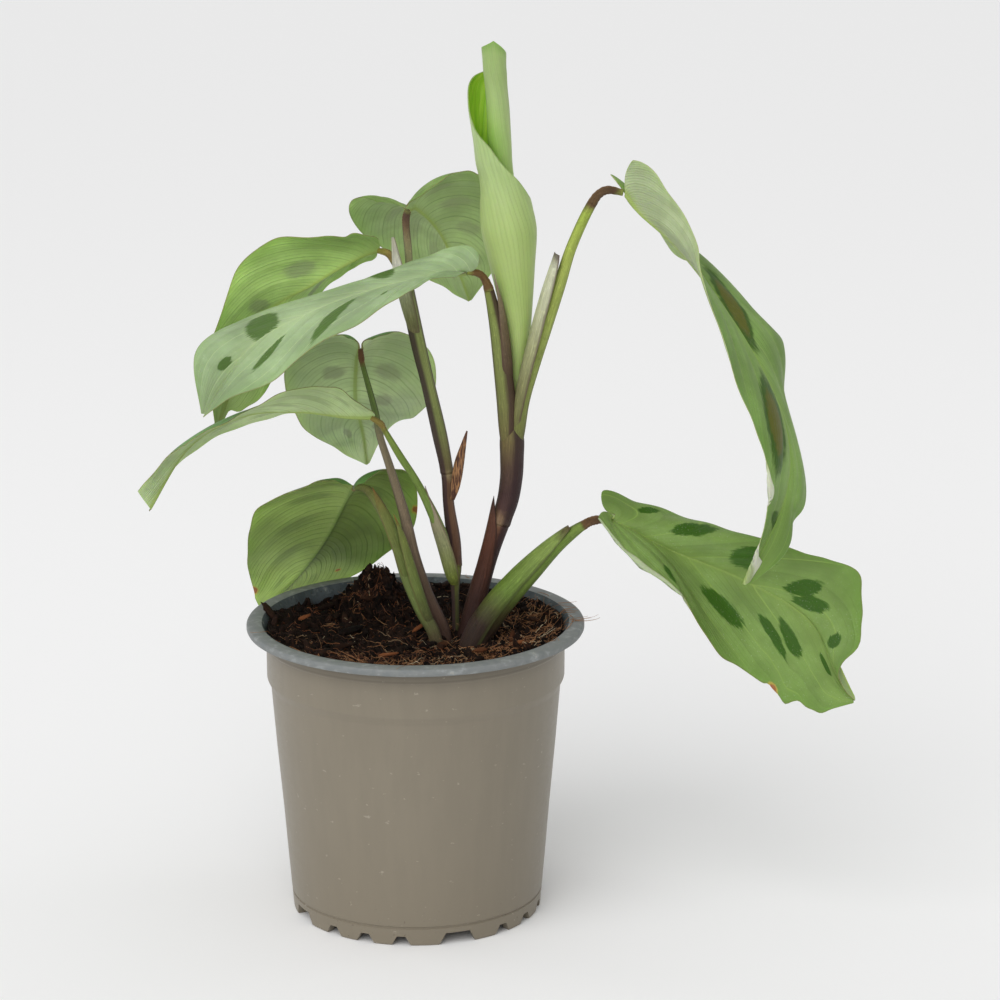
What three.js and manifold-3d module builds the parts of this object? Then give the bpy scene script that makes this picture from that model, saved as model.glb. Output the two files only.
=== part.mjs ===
// A prayer plant (maranta) in its 12 cm nursery pot.
// Millimetres, +Z up. The plant is laid out about the pot's axis, with the ground at z = 0, and the
// whole is then moved so that the origin lies on the ground under the middle of the plant.
import * as THREE from "three";
import { mergeVertices } from "three/addons/utils/BufferGeometryUtils.js";
import Module from "manifold-3d";

const wasm = await Module();
wasm.setup();

// Where the pot's axis stands from the origin.
const POT_AXIS = new THREE.Vector3(-33, -3, 0);

// Pot: outer radii and heights, from the ground up.
const POT_HEIGHT = 106.5;
const RIM_RADIUS = 60;
const RIM_THICKNESS = 3;
const RIM_INNER_RADIUS = 54.4;
const COLLAR_RADIUS = 53;
const COLLAR_BOTTOM = 86.5;
const COLLAR_CHAMFER_BOTTOM = 83.5;
const WALL_TOP_RADIUS = 51.6;
const FOOT_RADIUS = 44.6;
const FOOT_INNER_RADIUS = 41.6;
const POT_WALL = 0.9;
const FLOOR_BOTTOM = 4.8;
const FLOOR_TOP = 6;
const FOOT_GROOVE_HEIGHT = 6.8;
const FOOT_GROOVE_DEPTH = 0.5;
const POT_SIDES = 40;

// Foot ring: four wide drain gaps with three narrow notches after each.
const DRAIN_GAP_ANGLE = 20;
const DRAIN_GAP_STEP = 92;
const DRAIN_GAP = { bottom: 13.5, top: 9, height: 4.4 };
const NOTCH_ANGLES = [24, 41, 58];
const NOTCH = { bottom: 7, top: 3, height: 3.5 };
const DRAIN_HOLES = 8;
const DRAIN_HOLE_RADIUS = 3.5;
const DRAIN_HOLE_CIRCLE = 31;

// Soil: filled nearly to the rim, with a clump pushed up behind the stems.
const CLEARANCE = 0.3;
const SOIL_LEVEL = 99.5;
const SOIL_EDGE_RISE = 3.5;
const SOIL_RINGS = [46, 39, 32, 25, 18, 11, 5];
const CLUMP = { x: -16, y: 36, height: 15, width: 12, depth: 9 };
const HOLLOW = { x: -40, y: 26, height: -3, width: 14, depth: 14 };

// Plant.
const BLADE_THICKNESS = 0.8;
const BLADE_ROWS = 15;
const BLADE_START = 0.15;
const BLADE_END = 0.985;
const NORMAL_SMOOTHING = 3;
const HALF_BLADE_COLUMNS = 3;
const STEM_SIDES = 8;
const RINGS_PER_SPAN = 2;

const COLOURS = {
  pot: [0x87806f, 0.45],
  soil: [0x2c1f17, 0.95],
  stemPurple: [0x553a36, 0.5],
  stemBrown: [0x6b4a3a, 0.6],
  stemGreen: [0x7f8f48, 0.45],
  sheath: [0x6f7a3c, 0.5],
  pulvinus: [0x7b5a34, 0.5],
  bract: [0x9a6233, 0.8],
  bladeFront: [0x6f9a4e, 0.4],
  bladeBack: [0x9db078, 0.5],
  bladeYoung: [0xa5b97d, 0.45],
};

// Stems. Each point is x, y, z and the radius there. A route is cut into pieces at numbered points.
const STEMS = [
  {
    points: [
      [17.7, 1.5, 86, 3.1], [18.2, 1.5, 92, 3.2], [19.7, 1.5, 104, 3.2], [24.3, 0.5, 122, 2.9],
      [27.2, 0, 132.6, 3], [30, 0, 141.8, 3.4], [32.7, 0, 150, 3.7], [34, 0, 158.5, 3.9],
      [34.2, 0, 166, 4.2], [34, 0, 173, 4.3],
    ],
    pieces: [["shoot_front_base", 5, "stemBrown"], ["shoot_front_stem", 9, "stemPurple"]],
    rooted: true,
  },
  {
    points: [
      [31.6, -1.4, 173.3, 2.6], [31.4, -1.6, 186.7, 3.1], [30.2, -2, 202.2, 2.9],
      [28.4, -3, 215.2, 2.6], [26.2, -4, 226.3, 1.9], [24.4, -5, 231.2, 1.6], [22.4, -6.5, 233.1, 1.6],
      [19.3, -7.6, 233.1, 1.2],
    ],
    pieces: [["stalk_front_long", 4, "sheath"], ["pulvinus_front_long", 7, "pulvinus"]],
  },
  {
    points: [
      [37, -1, 173.85, 2.1], [40.5, -1, 187.3, 2.8], [43.6, -1, 202, 3.2], [47, -2, 216, 3.5],
      [50.1, -3, 227.9, 3.2], [53.8, -4, 240, 2], [58.2, -5, 250, 1.8], [61.6, -5, 256.8, 1.7],
      [64, -5.5, 260.2, 1.75], [67.2, -5.5, 261.6, 1.75], [71.6, -5.1, 260.7, 1.3],
    ],
    pieces: [["stalk_drooping", 7, "stemGreen"], ["pulvinus_drooping", 10, "pulvinus"]],
  },
  {
    points: [
      [15.8, -8.5, 86, 4.6], [18.6, -8.5, 94, 4.8], [23.6, -8.5, 105.6, 5.1], [31.8, -9, 117.2, 5.1],
      [40.5, -9.5, 126.9, 4.6], [49.3, -10, 136.1, 3.6], [56.6, -10, 141.9, 2.2],
      [59.3, -10, 143.7, 1.7], [61.3, -10, 144.9, 1.6], [63.8, -10, 145.6, 1.6], [66.5, -10, 145.9, 1.2],
    ],
    pieces: [["stalk_right_low", 7, "stemGreen"], ["pulvinus_right_low", 10, "pulvinus"]],
    rooted: true,
  },
  {
    points: [
      [14.3, 5, 87, 1.3], [14.3, 5, 96, 1.3], [14.3, 5, 104, 1.3], [14.1, 5.5, 114, 1.4],
      [14, 6, 119.5, 1.9], [14, 6, 124.5, 2.4], [13.5, 6, 134, 2.5], [11.8, 6, 147.5, 2],
      [11.3, 6, 158.6, 2.2], [8.9, 6, 172, 2.6], [4.9, 7, 190, 2.4], [1.6, 8, 204, 2.6],
      [-1.5, 9, 219, 2.6], [-2.7, 10, 225.5, 2.4],
    ],
    pieces: [
      ["shoot_back_foot", 5, "stemGreen"], ["shoot_back_stem", 8, "stemPurple"],
      ["shoot_back_sheath", 13, "sheath"],
    ],
    rooted: true,
  },
  {
    points: [
      [-1.4, 10.6, 226.2, 1], [-1.9, 12, 235.6, 1.3], [-2.5, 13, 242.1, 1.4], [-2.8, 13.5, 245.6, 1.5],
      [-2.8, 13.8, 248.4, 1.5], [-2.4, 14, 250.4, 1.2],
    ],
    pieces: [["stalk_back_high", 3, "stemGreen"], ["pulvinus_back_high", 5, "pulvinus"]],
  },
  {
    points: [
      [-4, 10.4, 226.2, 0.9], [-5.6, 13, 229.6, 1.1], [-7.3, 15, 232.8, 1.2], [-9.3, 16.3, 235.3, 1.3],
      [-12.3, 17.9, 236, 1],
    ],
    pieces: [["stalk_left_high", 2, "stemGreen"], ["pulvinus_left_high", 4, "pulvinus"]],
  },
  {
    points: [
      [11.8, -0.5, 87, 2.1], [11.1, -0.6, 95, 2.2], [9.7, 0, 103, 2.3], [4.1, 1, 115, 2.4],
      [-0.5, 2, 128.4, 2.5], [-3.6, 3, 143.5, 2], [-8.5, 6, 159.5, 1.6], [-12.4, 9, 171.2, 1.5],
      [-14.1, 10, 180.4, 1.4], [-18.2, 12, 195.5, 1.4], [-18.8, 12, 198.4, 1.6], [-19.1, 12, 200.3, 1.2],
    ],
    pieces: [["stalk_back_mid", 9, "stemGreen"], ["pulvinus_back_mid", 11, "pulvinus"]],
    rooted: true,
  },
  {
    points: [
      [12, 2.6, 126.6, 1.2], [10.2, 0.8, 134.9, 1.8], [7.4, 0, 142.9, 2.1], [3.6, -1, 151.5, 1.8],
      [-0.2, -2.5, 159.2, 1.4], [-5, -3.2, 167, 1.4], [-10.3, -4, 176.4, 1.3], [-11.7, -4.4, 178.9, 1.4],
      [-14.5, -4.1, 180.8, 1],
    ],
    pieces: [["stalk_left_low", 6, "stemGreen"], ["pulvinus_left_low", 8, "pulvinus"]],
  },
  {
    points: [
      [8.5, -8, 87, 2.1], [8.3, -7.8, 96, 2.2], [6.4, -7, 104, 2.3], [2.4, -6, 111.2, 2.3],
      [-2.8, -4, 123, 2.2], [-6.7, -2, 136, 2.4], [-11.6, 1, 146.2, 2.3], [-15.8, 4, 151.8, 1.9],
      [-18.3, 6.2, 152.9, 1.3], [-20.3, 7.1, 152.7, 1],
    ],
    pieces: [["stalk_over_rim", 7, "sheath"], ["pulvinus_over_rim", 9, "pulvinus"]],
    rooted: true,
  },
  {
    points: [
      [13.4, 3, 150.2, 0.9], [14.9, 3, 156.5, 1.8], [15.6, 2.8, 163, 1.7], [17, 2.5, 168.8, 1.1],
      [18.4, 2.5, 174.2, 0.4],
    ],
    pieces: [["dry_bract", 4, "bract"]],
  },
];

// Leaf blades. The midrib runs from the stalk to the tip, and each margin from the same joint round
// its base lobe to the same tip. left and right are as seen from above, looking towards the tip.
const BLADES = [
  {
    name: "leaf_left_high",
    colour: "bladeBack",
    arch: 2,
    midrib: [[-13, 18, 236], [-20, 14, 234], [-35, 14, 225], [-54, 18, 211], [-72, 24, 171]],
    left: [
      [-12, 14, 240], [-14, 8, 243], [-21, 1, 245], [-32, -3, 245], [-48, 1, 243], [-61, 3, 233],
      [-66, 1, 219], [-73, 14, 197],
    ],
    right: [
      [-13, 22, 234], [-15, 26, 231], [-21, 31, 228], [-27, 35, 223], [-35, 37, 216], [-44, 33, 204],
      [-49, 23, 193], [-56, 15, 182],
    ],
  },
  {
    name: "leaf_back_high",
    colour: "bladeBack",
    arch: 3,
    midrib: [[-2, 14, 251], [1, 21, 250], [8, 35, 240], [14, 48, 225], [19, 58, 209]],
    left: [
      [-11, 16, 253], [-20, 18, 255], [-23, 22, 249], [-19, 35, 239], [-11, 54, 229], [-1, 63, 219],
      [10, 66, 213],
    ],
    right: [
      [0, 10, 255], [4, 8, 258], [12, 10, 264], [20, 16, 264], [28, 25, 258], [31, 33, 246],
      [30, 46, 228],
    ],
  },
  {
    name: "leaf_front_long",
    colour: "bladeFront",
    arch: 2,
    midrib: [[18, -8, 233], [10, -13, 233], [-8, -24, 232], [-32, -36, 226], [-54, -46, 215], [-70, -52, 192]],
    left: [
      [17, -14, 233], [12, -20, 234], [7, -28, 235], [2, -38, 234], [-5, -47, 232], [-17, -55, 225],
      [-32, -61, 219], [-45, -60, 207], [-61, -57, 200],
    ],
    right: [
      [24, -8, 237], [19, -9, 243], [9, 1, 239], [-1, 3, 235], [-14, 1, 230], [-28, -4, 226],
      [-43, -12, 223], [-59, -25, 220], [-72, -47, 214],
    ],
  },
  {
    name: "leaf_back_mid",
    colour: "bladeBack",
    arch: 3,
    midrib: [[-19, 12, 202], [-21, 21, 195], [-22, 35, 178], [-20, 50, 162], [-19, 61, 147]],
    left: [
      [-22, 10, 205], [-26, 8, 208], [-35, 8, 206], [-42, 11, 200], [-46, 16, 192], [-45, 20, 181],
      [-39, 25, 169], [-30, 63, 153],
    ],
    right: [
      [-17, 10, 205], [-10, 12, 207], [-3, 20, 206], [3, 28, 200], [7, 29, 192], [6, 26, 181],
      [-1, 53, 168], [-10, 67, 161],
    ],
  },
  {
    name: "leaf_left_low",
    colour: "bladeBack",
    arch: 2,
    midrib: [[-15, -4, 181], [-24, -7, 182], [-39, -12, 185], [-58, -18, 185], [-77, -23, 175], [-92, -27, 154]],
    left: [
      [-13, -4, 182], [-19, -11, 188], [-26, -16, 194], [-35, -23, 196], [-46, -32, 194],
      [-59, -38, 190], [-72, -39, 183], [-85, -35, 173],
    ],
    right: [
      [-14, -5, 180], [-19, 3, 180], [-29, 7, 180], [-40, 7, 180], [-51, 4, 179], [-63, -1, 176],
      [-75, -7, 171], [-85, -17, 164],
    ],
  },
  {
    name: "leaf_over_rim",
    colour: "bladeBack",
    arch: 3,
    midrib: [[-22, 8, 152], [-25, 18, 145], [-34, 35, 125], [-45, 51, 107], [-59, 60, 91]],
    left: [
      [-25, 6, 154], [-30, 2, 157], [-39, 3, 154], [-55, 17, 144], [-60, 21, 133], [-62, 36, 117],
      [-62, 67, 97],
    ],
    right: [
      [-19, 6, 154], [-13, 8, 158], [-5, 21, 156], [0, 29, 146], [-2, 37, 129], [-15, 54, 113],
      [-33, 64, 100],
    ],
  },
  {
    name: "leaf_drooping",
    colour: "bladeFront",
    arch: 2,
    midrib: [
      [73, -5, 260], [78, -7, 254], [93, -17, 241], [113, -30, 215], [126, -40, 189], [127, -45, 164],
      [112, -50, 132],
    ],
    left: [
      [67, -6, 263], [69, -1, 265], [79, 4, 256], [87, 2, 242], [93, 3, 236], [103, 2, 233],
      [118, -4, 219], [128, -11, 207], [130, -18, 187], [135, -32, 162], [128, -42, 148],
    ],
    right: [
      [73, -7, 268], [77, -7, 272], [85, -9, 267], [92, -21, 258], [95, -33, 249], [97, -43, 238],
      [103, -51, 223], [109, -56, 206], [115, -59, 191], [120, -60, 175], [119, -55, 156],
    ],
  },
  {
    name: "leaf_right_low",
    colour: "bladeFront",
    arch: 2,
    midrib: [[67, -10, 146], [73, -11, 144], [89, -14, 136], [114, -20, 127], [139, -27, 113], [154, -36, 87]],
    left: [
      [66, -7, 151], [67, -4, 155], [80, -1, 151], [93, -2, 145], [106, -7, 143], [118, -13, 140],
      [134, -19, 136], [155, -22, 132], [157, -27, 120], [151, -38, 103],
    ],
    right: [
      [64, -10, 148], [69, -20, 142], [74, -25, 137], [81, -29, 132], [90, -33, 127], [96, -39, 121],
      [104, -34, 108], [114, -28, 97], [126, -33, 90], [141, -36, 85],
    ],
  },
];

// Rolled young leaf: heights with the roll's axis, its inner and outer radius, and the angles at which
// the inner and the outer margin lie. The roll winds from behind the axis to the left and the front.
const ROLL_COLUMNS = 20;
const ROLL_STEP_OUT = { from: 50, over: 100 };
const ROLL_TIP_RISE = 2.5;
const ROLL_DEPTH = 2.8;
const ROLL_ROWS = [
  { z: 173.4, x: 34.5, inner: 0.6, outer: 1.5, end: 400, start: -200 },
  { z: 186, x: 35.6, inner: 0.8, outer: 1.7, end: 400, start: -200 },
  { z: 198, x: 36.3, inner: 1.1, outer: 2.4, end: 400, start: -200 },
  { z: 208, x: 36.3, inner: 1.9, outer: 4, end: 400, start: -210 },
  { z: 220, x: 35.5, inner: 2.6, outer: 5.7, end: 400, start: -230 },
  { z: 234, x: 34.2, inner: 3.1, outer: 7.8, end: 398, start: -250 },
  { z: 246, x: 33.1, inner: 3.5, outer: 9.5, end: 396 },
  { z: 254, x: 32.2, inner: 3.6, outer: 9.3, end: 386 },
  { z: 259, x: 31.7, inner: 3.7, outer: 8.9, end: 335 },
  { z: 264.5, x: 31, inner: 3.7, outer: 8.5, end: 303 },
  { z: 270, x: 30.3, inner: 3.8, outer: 8.6, end: 276 },
  { z: 276, x: 29.9, inner: 3.9, outer: 8.9, end: 246 },
  { z: 281, x: 29.6, inner: 3.9, outer: 9.4, end: 210 },
  { z: 287, x: 29.3, inner: 3.8, outer: 10.2, end: 188 },
  { z: 294, x: 28.8, inner: 3.7, outer: 9.8, end: 178 },
  { z: 297, x: 28.5, inner: 3.8, outer: 8.6, end: 165 },
  { z: 300, x: 28.3, inner: 3.9, outer: 7.8, end: 120 },
  { z: 303, x: 28.1, inner: 3.9, outer: 7.2, end: 80 },
  { z: 308.5, x: 27.9, inner: 4.1, outer: 4.2, end: 84 },
];

function material(name) {
  const [color, roughness] = COLOURS[name];
  return new THREE.MeshStandardMaterial({ color, roughness, metalness: 0 });
}

function namedMesh(name, geometry, colour) {
  const mesh = new THREE.Mesh(geometry, material(colour));
  mesh.name = name;
  return mesh;
}

// Turn a closed geometry into a solid that can be cut.
function toSolid(geometry) {
  const bare = geometry.clone();
  bare.deleteAttribute("normal");
  bare.deleteAttribute("uv");
  const merged = mergeVertices(bare, 1e-4);
  const index = merged.index.array;
  const triangles = [];
  for (let i = 0; i < index.length; i += 3) {
    const [a, b, c] = [index[i], index[i + 1], index[i + 2]];
    if (a !== b && b !== c && c !== a) triangles.push(a, b, c);
  }
  const vertProperties = Float32Array.from(merged.attributes.position.array);
  return new wasm.Manifold(
    new wasm.Mesh({ numProp: 3, vertProperties, triVerts: Uint32Array.from(triangles) }),
  );
}

function toGeometry(solid) {
  const mesh = solid.getMesh();
  return facets(mesh.vertProperties, mesh.triVerts);
}

function facets(positions, triangles) {
  const geometry = new THREE.BufferGeometry();
  geometry.setAttribute("position", new THREE.BufferAttribute(Float32Array.from(positions), 3));
  geometry.setIndex(new THREE.BufferAttribute(Uint32Array.from(triangles), 1));
  geometry.computeVertexNormals();
  return geometry;
}

function curveThrough(points) {
  const corners = points.map(([x, y, z]) => new THREE.Vector3(x, y, z));
  return new THREE.CatmullRomCurve3(corners, false, "catmullrom", 0.5);
}

// Turn a profile of [radius, height] pairs about the Z axis.
function turned(profile, sides) {
  const points = profile.map(([radius, height]) => new THREE.Vector2(radius, height));
  return new THREE.LatheGeometry(points, sides).rotateX(Math.PI / 2);
}

// A wedge-shaped cutter that reaches outwards through the foot ring.
function footCutter({ bottom, top, height }, degrees) {
  const below = 1;
  const shape = new THREE.Shape();
  shape.moveTo(-bottom / 2, -below);
  shape.lineTo(bottom / 2, -below);
  shape.lineTo(bottom / 2, 0);
  shape.lineTo(top / 2, height);
  shape.lineTo(-top / 2, height);
  shape.lineTo(-bottom / 2, 0);
  shape.closePath();
  const reach = FOOT_RADIUS - FOOT_INNER_RADIUS + 6;
  const cutter = new THREE.ExtrudeGeometry(shape, { depth: reach, bevelEnabled: false });
  cutter.rotateX(Math.PI / 2);
  cutter.translate(0, -(FOOT_INNER_RADIUS - 3), 0);
  cutter.rotateZ(THREE.MathUtils.degToRad(degrees));
  return toSolid(cutter);
}

function potRadiusAt(height) {
  const rise = height / COLLAR_CHAMFER_BOTTOM;
  return FOOT_RADIUS + (WALL_TOP_RADIUS - FOOT_RADIUS) * rise;
}

function pot() {
  const rimBottom = POT_HEIGHT - RIM_THICKNESS;
  const grooveBottom = FOOT_GROOVE_HEIGHT - FOOT_GROOVE_DEPTH;
  const grooveTop = FOOT_GROOVE_HEIGHT + FOOT_GROOVE_DEPTH;
  const profile = [
    [0, FLOOR_BOTTOM],
    [FOOT_INNER_RADIUS, FLOOR_BOTTOM],
    [FOOT_INNER_RADIUS, 0],
    [FOOT_RADIUS - 0.6, 0],
    [FOOT_RADIUS, 0.6],
    [potRadiusAt(grooveBottom), grooveBottom],
    [potRadiusAt(FOOT_GROOVE_HEIGHT) - FOOT_GROOVE_DEPTH, FOOT_GROOVE_HEIGHT],
    [potRadiusAt(grooveTop), grooveTop],
    [potRadiusAt(45), 45],
    [WALL_TOP_RADIUS, COLLAR_CHAMFER_BOTTOM],
    [COLLAR_RADIUS, COLLAR_BOTTOM],
    [COLLAR_RADIUS + 0.1, 98.6],
    [COLLAR_RADIUS + 0.4, 99],
    [COLLAR_RADIUS + 0.4, rimBottom + 0.2],
    [RIM_RADIUS - 0.8, rimBottom],
    [RIM_RADIUS, rimBottom + 0.8],
    [RIM_RADIUS, POT_HEIGHT - 0.9],
    [RIM_RADIUS - 0.9, POT_HEIGHT],
    [RIM_INNER_RADIUS + 0.8, POT_HEIGHT],
    [RIM_INNER_RADIUS, POT_HEIGHT - 0.4],
    [COLLAR_RADIUS - POT_WALL, rimBottom - 1],
    [COLLAR_RADIUS - POT_WALL, COLLAR_BOTTOM],
    [WALL_TOP_RADIUS - POT_WALL, COLLAR_CHAMFER_BOTTOM],
    [potRadiusAt(FLOOR_TOP) - POT_WALL, FLOOR_TOP],
    [0, FLOOR_TOP],
  ];
  let solid = toSolid(turned(profile, POT_SIDES));
  for (let quarter = 0; quarter < 4; quarter += 1) {
    const angle = DRAIN_GAP_ANGLE + DRAIN_GAP_STEP * quarter;
    solid = solid.subtract(footCutter(DRAIN_GAP, angle));
    for (const step of NOTCH_ANGLES) {
      solid = solid.subtract(footCutter(NOTCH, angle + step));
    }
  }
  const floorThickness = FLOOR_TOP - FLOOR_BOTTOM;
  for (let i = 0; i < DRAIN_HOLES; i += 1) {
    const hole = new THREE.CylinderGeometry(DRAIN_HOLE_RADIUS, DRAIN_HOLE_RADIUS, 3 * floorThickness, 14);
    hole.rotateX(Math.PI / 2);
    const turn = (2 * Math.PI * (i + 0.5)) / DRAIN_HOLES;
    const middle = (FLOOR_TOP + FLOOR_BOTTOM) / 2;
    hole.translate(DRAIN_HOLE_CIRCLE * Math.cos(turn), DRAIN_HOLE_CIRCLE * Math.sin(turn), middle);
    solid = solid.subtract(toSolid(hole));
  }
  return namedMesh("pot", toGeometry(solid), "pot");
}

function bump({ x, y, height, width, depth }, px, py) {
  return height * Math.exp(-(((px - x) / width) ** 2) - ((py - y) / depth) ** 2);
}

// Height of the soil's surface above the ground.
function soilHeight(x, y) {
  const edge = Math.hypot(x, y) / COLLAR_RADIUS;
  const lumps = Math.sin(0.31 * x + 1.3) * Math.cos(0.27 * y) + 0.7 * Math.sin(0.53 * x - 0.41 * y + 2);
  return SOIL_LEVEL + SOIL_EDGE_RISE * edge ** 2 + 0.6 * lumps + bump(CLUMP, x, y) + bump(HOLLOW, x, y);
}

function soil(stemHoles) {
  const inset = POT_WALL + CLEARANCE;
  const floor = FLOOR_TOP + CLEARANCE;
  const profile = [
    [0, floor],
    [potRadiusAt(floor) - inset, floor],
    [WALL_TOP_RADIUS - inset, COLLAR_CHAMFER_BOTTOM - CLEARANCE / 2],
    [COLLAR_RADIUS - inset, COLLAR_BOTTOM],
    [COLLAR_RADIUS - inset, SOIL_LEVEL],
    ...SOIL_RINGS.map((radius) => [radius, SOIL_LEVEL]),
    [0, SOIL_LEVEL],
  ];
  const body = turned(profile, POT_SIDES);
  const position = body.attributes.position;
  for (let i = 0; i < position.count; i += 1) {
    if (Math.abs(position.getZ(i) - SOIL_LEVEL) < 0.01) {
      position.setZ(i, soilHeight(position.getX(i), position.getY(i)));
    }
  }
  let solid = toSolid(body);
  for (const hole of stemHoles) solid = solid.subtract(toSolid(hole));
  return namedMesh("soil", toGeometry(solid), "soil");
}

// Rings of points about a stem's route, from one numbered point to another.
function stemRings(points, from, to, grow, pullBack) {
  const curve = curveThrough(points);
  const radii = curveThrough(points.map((point) => [point[3], 0, 0]));
  const spans = points.length - 1;
  const count = (to - from) * RINGS_PER_SPAN;
  const rings = [];
  let side = new THREE.Vector3(0, -1, 0);
  for (let i = 0; i <= count; i += 1) {
    const t = (from + ((to - from) * i) / count) / spans;
    const tangent = curve.getTangent(t);
    const centre = curve.getPoint(t);
    if (i === 0) centre.addScaledVector(tangent, pullBack);
    side = side.clone().addScaledVector(tangent, -side.dot(tangent)).normalize();
    const across = new THREE.Vector3().crossVectors(side, tangent);
    const radius = radii.getPoint(t).x + grow;
    const ring = [];
    for (let k = 0; k < STEM_SIDES; k += 1) {
      const turn = (2 * Math.PI * k) / STEM_SIDES;
      ring.push(centre.clone()
        .addScaledVector(across, radius * Math.cos(turn))
        .addScaledVector(side, radius * Math.sin(turn)));
    }
    rings.push(ring);
  }
  return rings;
}

// Skin a row of rings and close both ends.
function skin(rings) {
  const sides = rings[0].length;
  const last = (rings.length - 1) * sides;
  const triangles = [];
  for (let i = 0; i < rings.length - 1; i += 1) {
    for (let k = 0; k < sides; k += 1) {
      const next = (k + 1) % sides;
      const [a, b] = [i * sides + k, i * sides + next];
      const [c, d] = [b + sides, a + sides];
      triangles.push(a, b, c, a, c, d);
    }
  }
  for (let k = 1; k < sides - 1; k += 1) {
    triangles.push(0, k + 1, k, last, last + k, last + k + 1);
  }
  return facets(rings.flat().flatMap((point) => point.toArray()), triangles);
}

function stemPieces({ points, pieces }) {
  let from = 0;
  return pieces.map(([name, to, colour]) => {
    const pullBack = from === 0 ? 0 : CLEARANCE;
    const geometry = skin(stemRings(points, from, to, 0, pullBack));
    from = to;
    return namedMesh(name, geometry, colour);
  });
}

// The plain hole that a rooted stem stands in, a little wider and deeper than the stem.
function stemHole({ points }) {
  return skin(stemRings(points, 0, 3, CLEARANCE, -CLEARANCE));
}

function overGrid(rows, columns, valueAt) {
  return Array.from({ length: rows }, (_, i) => Array.from({ length: columns }, (__, j) => valueAt(i, j)));
}

// The grid's value at a row and column, or at its border beyond that.
function near(grid, i, j) {
  const row = grid[Math.min(Math.max(i, 0), grid.length - 1)];
  return row[Math.min(Math.max(j, 0), row.length - 1)];
}

// A thin closed body on a grid of points, whose columns run from left to right and rows to the tip.
function sheet(grid, thickness) {
  const rows = grid.length;
  const columns = grid[0].length;
  let normals = overGrid(rows, columns, (i, j) => {
    const across = near(grid, i, j + 1).clone().sub(near(grid, i, j - 1));
    const along = near(grid, i + 1, j).clone().sub(near(grid, i - 1, j));
    return across.cross(along).normalize();
  });
  for (let pass = 0; pass < NORMAL_SMOOTHING; pass += 1) {
    const sharp = normals;
    normals = overGrid(rows, columns, (i, j) => {
      const sum = sharp[i][j].clone();
      const around = [[i - 1, j], [i + 1, j], [i, j - 1], [i, j + 1]];
      for (const [row, column] of around) sum.add(near(sharp, row, column));
      return sum.normalize();
    });
  }
  const face = (side) => grid.flatMap((row, i) => row.flatMap((point, j) => (
    point.clone().addScaledVector(normals[i][j], (side * thickness) / 2).toArray()
  )));
  const under = rows * columns;
  const triangles = [];
  for (let i = 0; i < rows - 1; i += 1) {
    for (let j = 0; j < columns - 1; j += 1) {
      const a = i * columns + j;
      const [b, c, d] = [a + 1, a + columns + 1, a + columns];
      const corners = j < (columns - 1) / 2 ? [a, b, c, a, c, d] : [a, b, d, b, c, d];
      triangles.push(...corners);
      const [p, q, r, s, t, u] = corners.map((corner) => corner + under);
      triangles.push(p, r, q, s, u, t);
    }
  }
  const border = [];
  for (let j = 0; j < columns - 1; j += 1) border.push(j);
  for (let i = 0; i < rows - 1; i += 1) border.push(i * columns + columns - 1);
  for (let j = columns - 1; j > 0; j -= 1) border.push((rows - 1) * columns + j);
  for (let i = rows - 1; i > 0; i -= 1) border.push(i * columns);
  border.forEach((corner, k) => {
    const next = border[(k + 1) % border.length];
    triangles.push(corner + under, next + under, next, corner + under, next, corner);
  });
  return facets([...face(1), ...face(-1)], triangles);
}

// How far along the midrib the vein starts that meets the margin at a given share of its length. All
// veins of the base lobes leave from near the stalk.
function veinStation(along) {
  const beyondLobe = (along - BLADE_START) / (1 - BLADE_START);
  return beyondLobe * (0.5 + 0.5 * beyondLobe);
}

function blade({ name, colour, arch, midrib, left, right }) {
  const joint = midrib[0];
  const tip = midrib[midrib.length - 1];
  const rib = curveThrough(midrib);
  const margins = [left, right].map((margin) => curveThrough([joint, ...margin, tip]));
  const grid = [];
  for (let i = 0; i <= BLADE_ROWS; i += 1) {
    const along = THREE.MathUtils.lerp(BLADE_START, BLADE_END, i / BLADE_ROWS);
    const middle = rib.getPoint(veinStation(along));
    const forward = rib.getTangent(veinStation(along));
    const [leftEdge, rightEdge] = margins.map((margin) => margin.getPoint(along));
    const row = [];
    for (let j = -HALF_BLADE_COLUMNS; j <= HALF_BLADE_COLUMNS; j += 1) {
      const out = Math.abs(j) / HALF_BLADE_COLUMNS;
      const span = (j < 0 ? leftEdge : rightEdge).clone().sub(middle);
      const upward = new THREE.Vector3().crossVectors(span, forward).normalize();
      if (j < 0) upward.negate();
      const lift = arch * 4 * out * (1 - out) * Math.sin(Math.PI * along);
      row.push(middle.clone().addScaledVector(span, out).addScaledVector(upward, lift));
    }
    grid.push(row);
  }
  return namedMesh(name, sheet(grid, BLADE_THICKNESS), colour);
}

function rolledLeaf() {
  const grid = ROLL_ROWS.map(({ z, x, inner, outer, end, start = -268 }, i) => {
    const row = [];
    for (let j = 0; j <= ROLL_COLUMNS; j += 1) {
      const degrees = THREE.MathUtils.lerp(start, end, j / ROLL_COLUMNS);
      const stepOut = THREE.MathUtils.smoothstep(degrees, ROLL_STEP_OUT.from, ROLL_STEP_OUT.from + ROLL_STEP_OUT.over);
      const radius = THREE.MathUtils.lerp(inner, outer, stepOut);
      const turn = THREE.MathUtils.degToRad(degrees);
      const rise = i === ROLL_ROWS.length - 1 ? -ROLL_TIP_RISE * Math.sin(turn) : 0;
      row.push(new THREE.Vector3(x + radius * Math.cos(turn), ROLL_DEPTH + radius * Math.sin(turn), z + rise));
    }
    return row;
  });
  return namedMesh("leaf_rolled", sheet(grid, 0.6), "bladeYoung");
}

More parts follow.
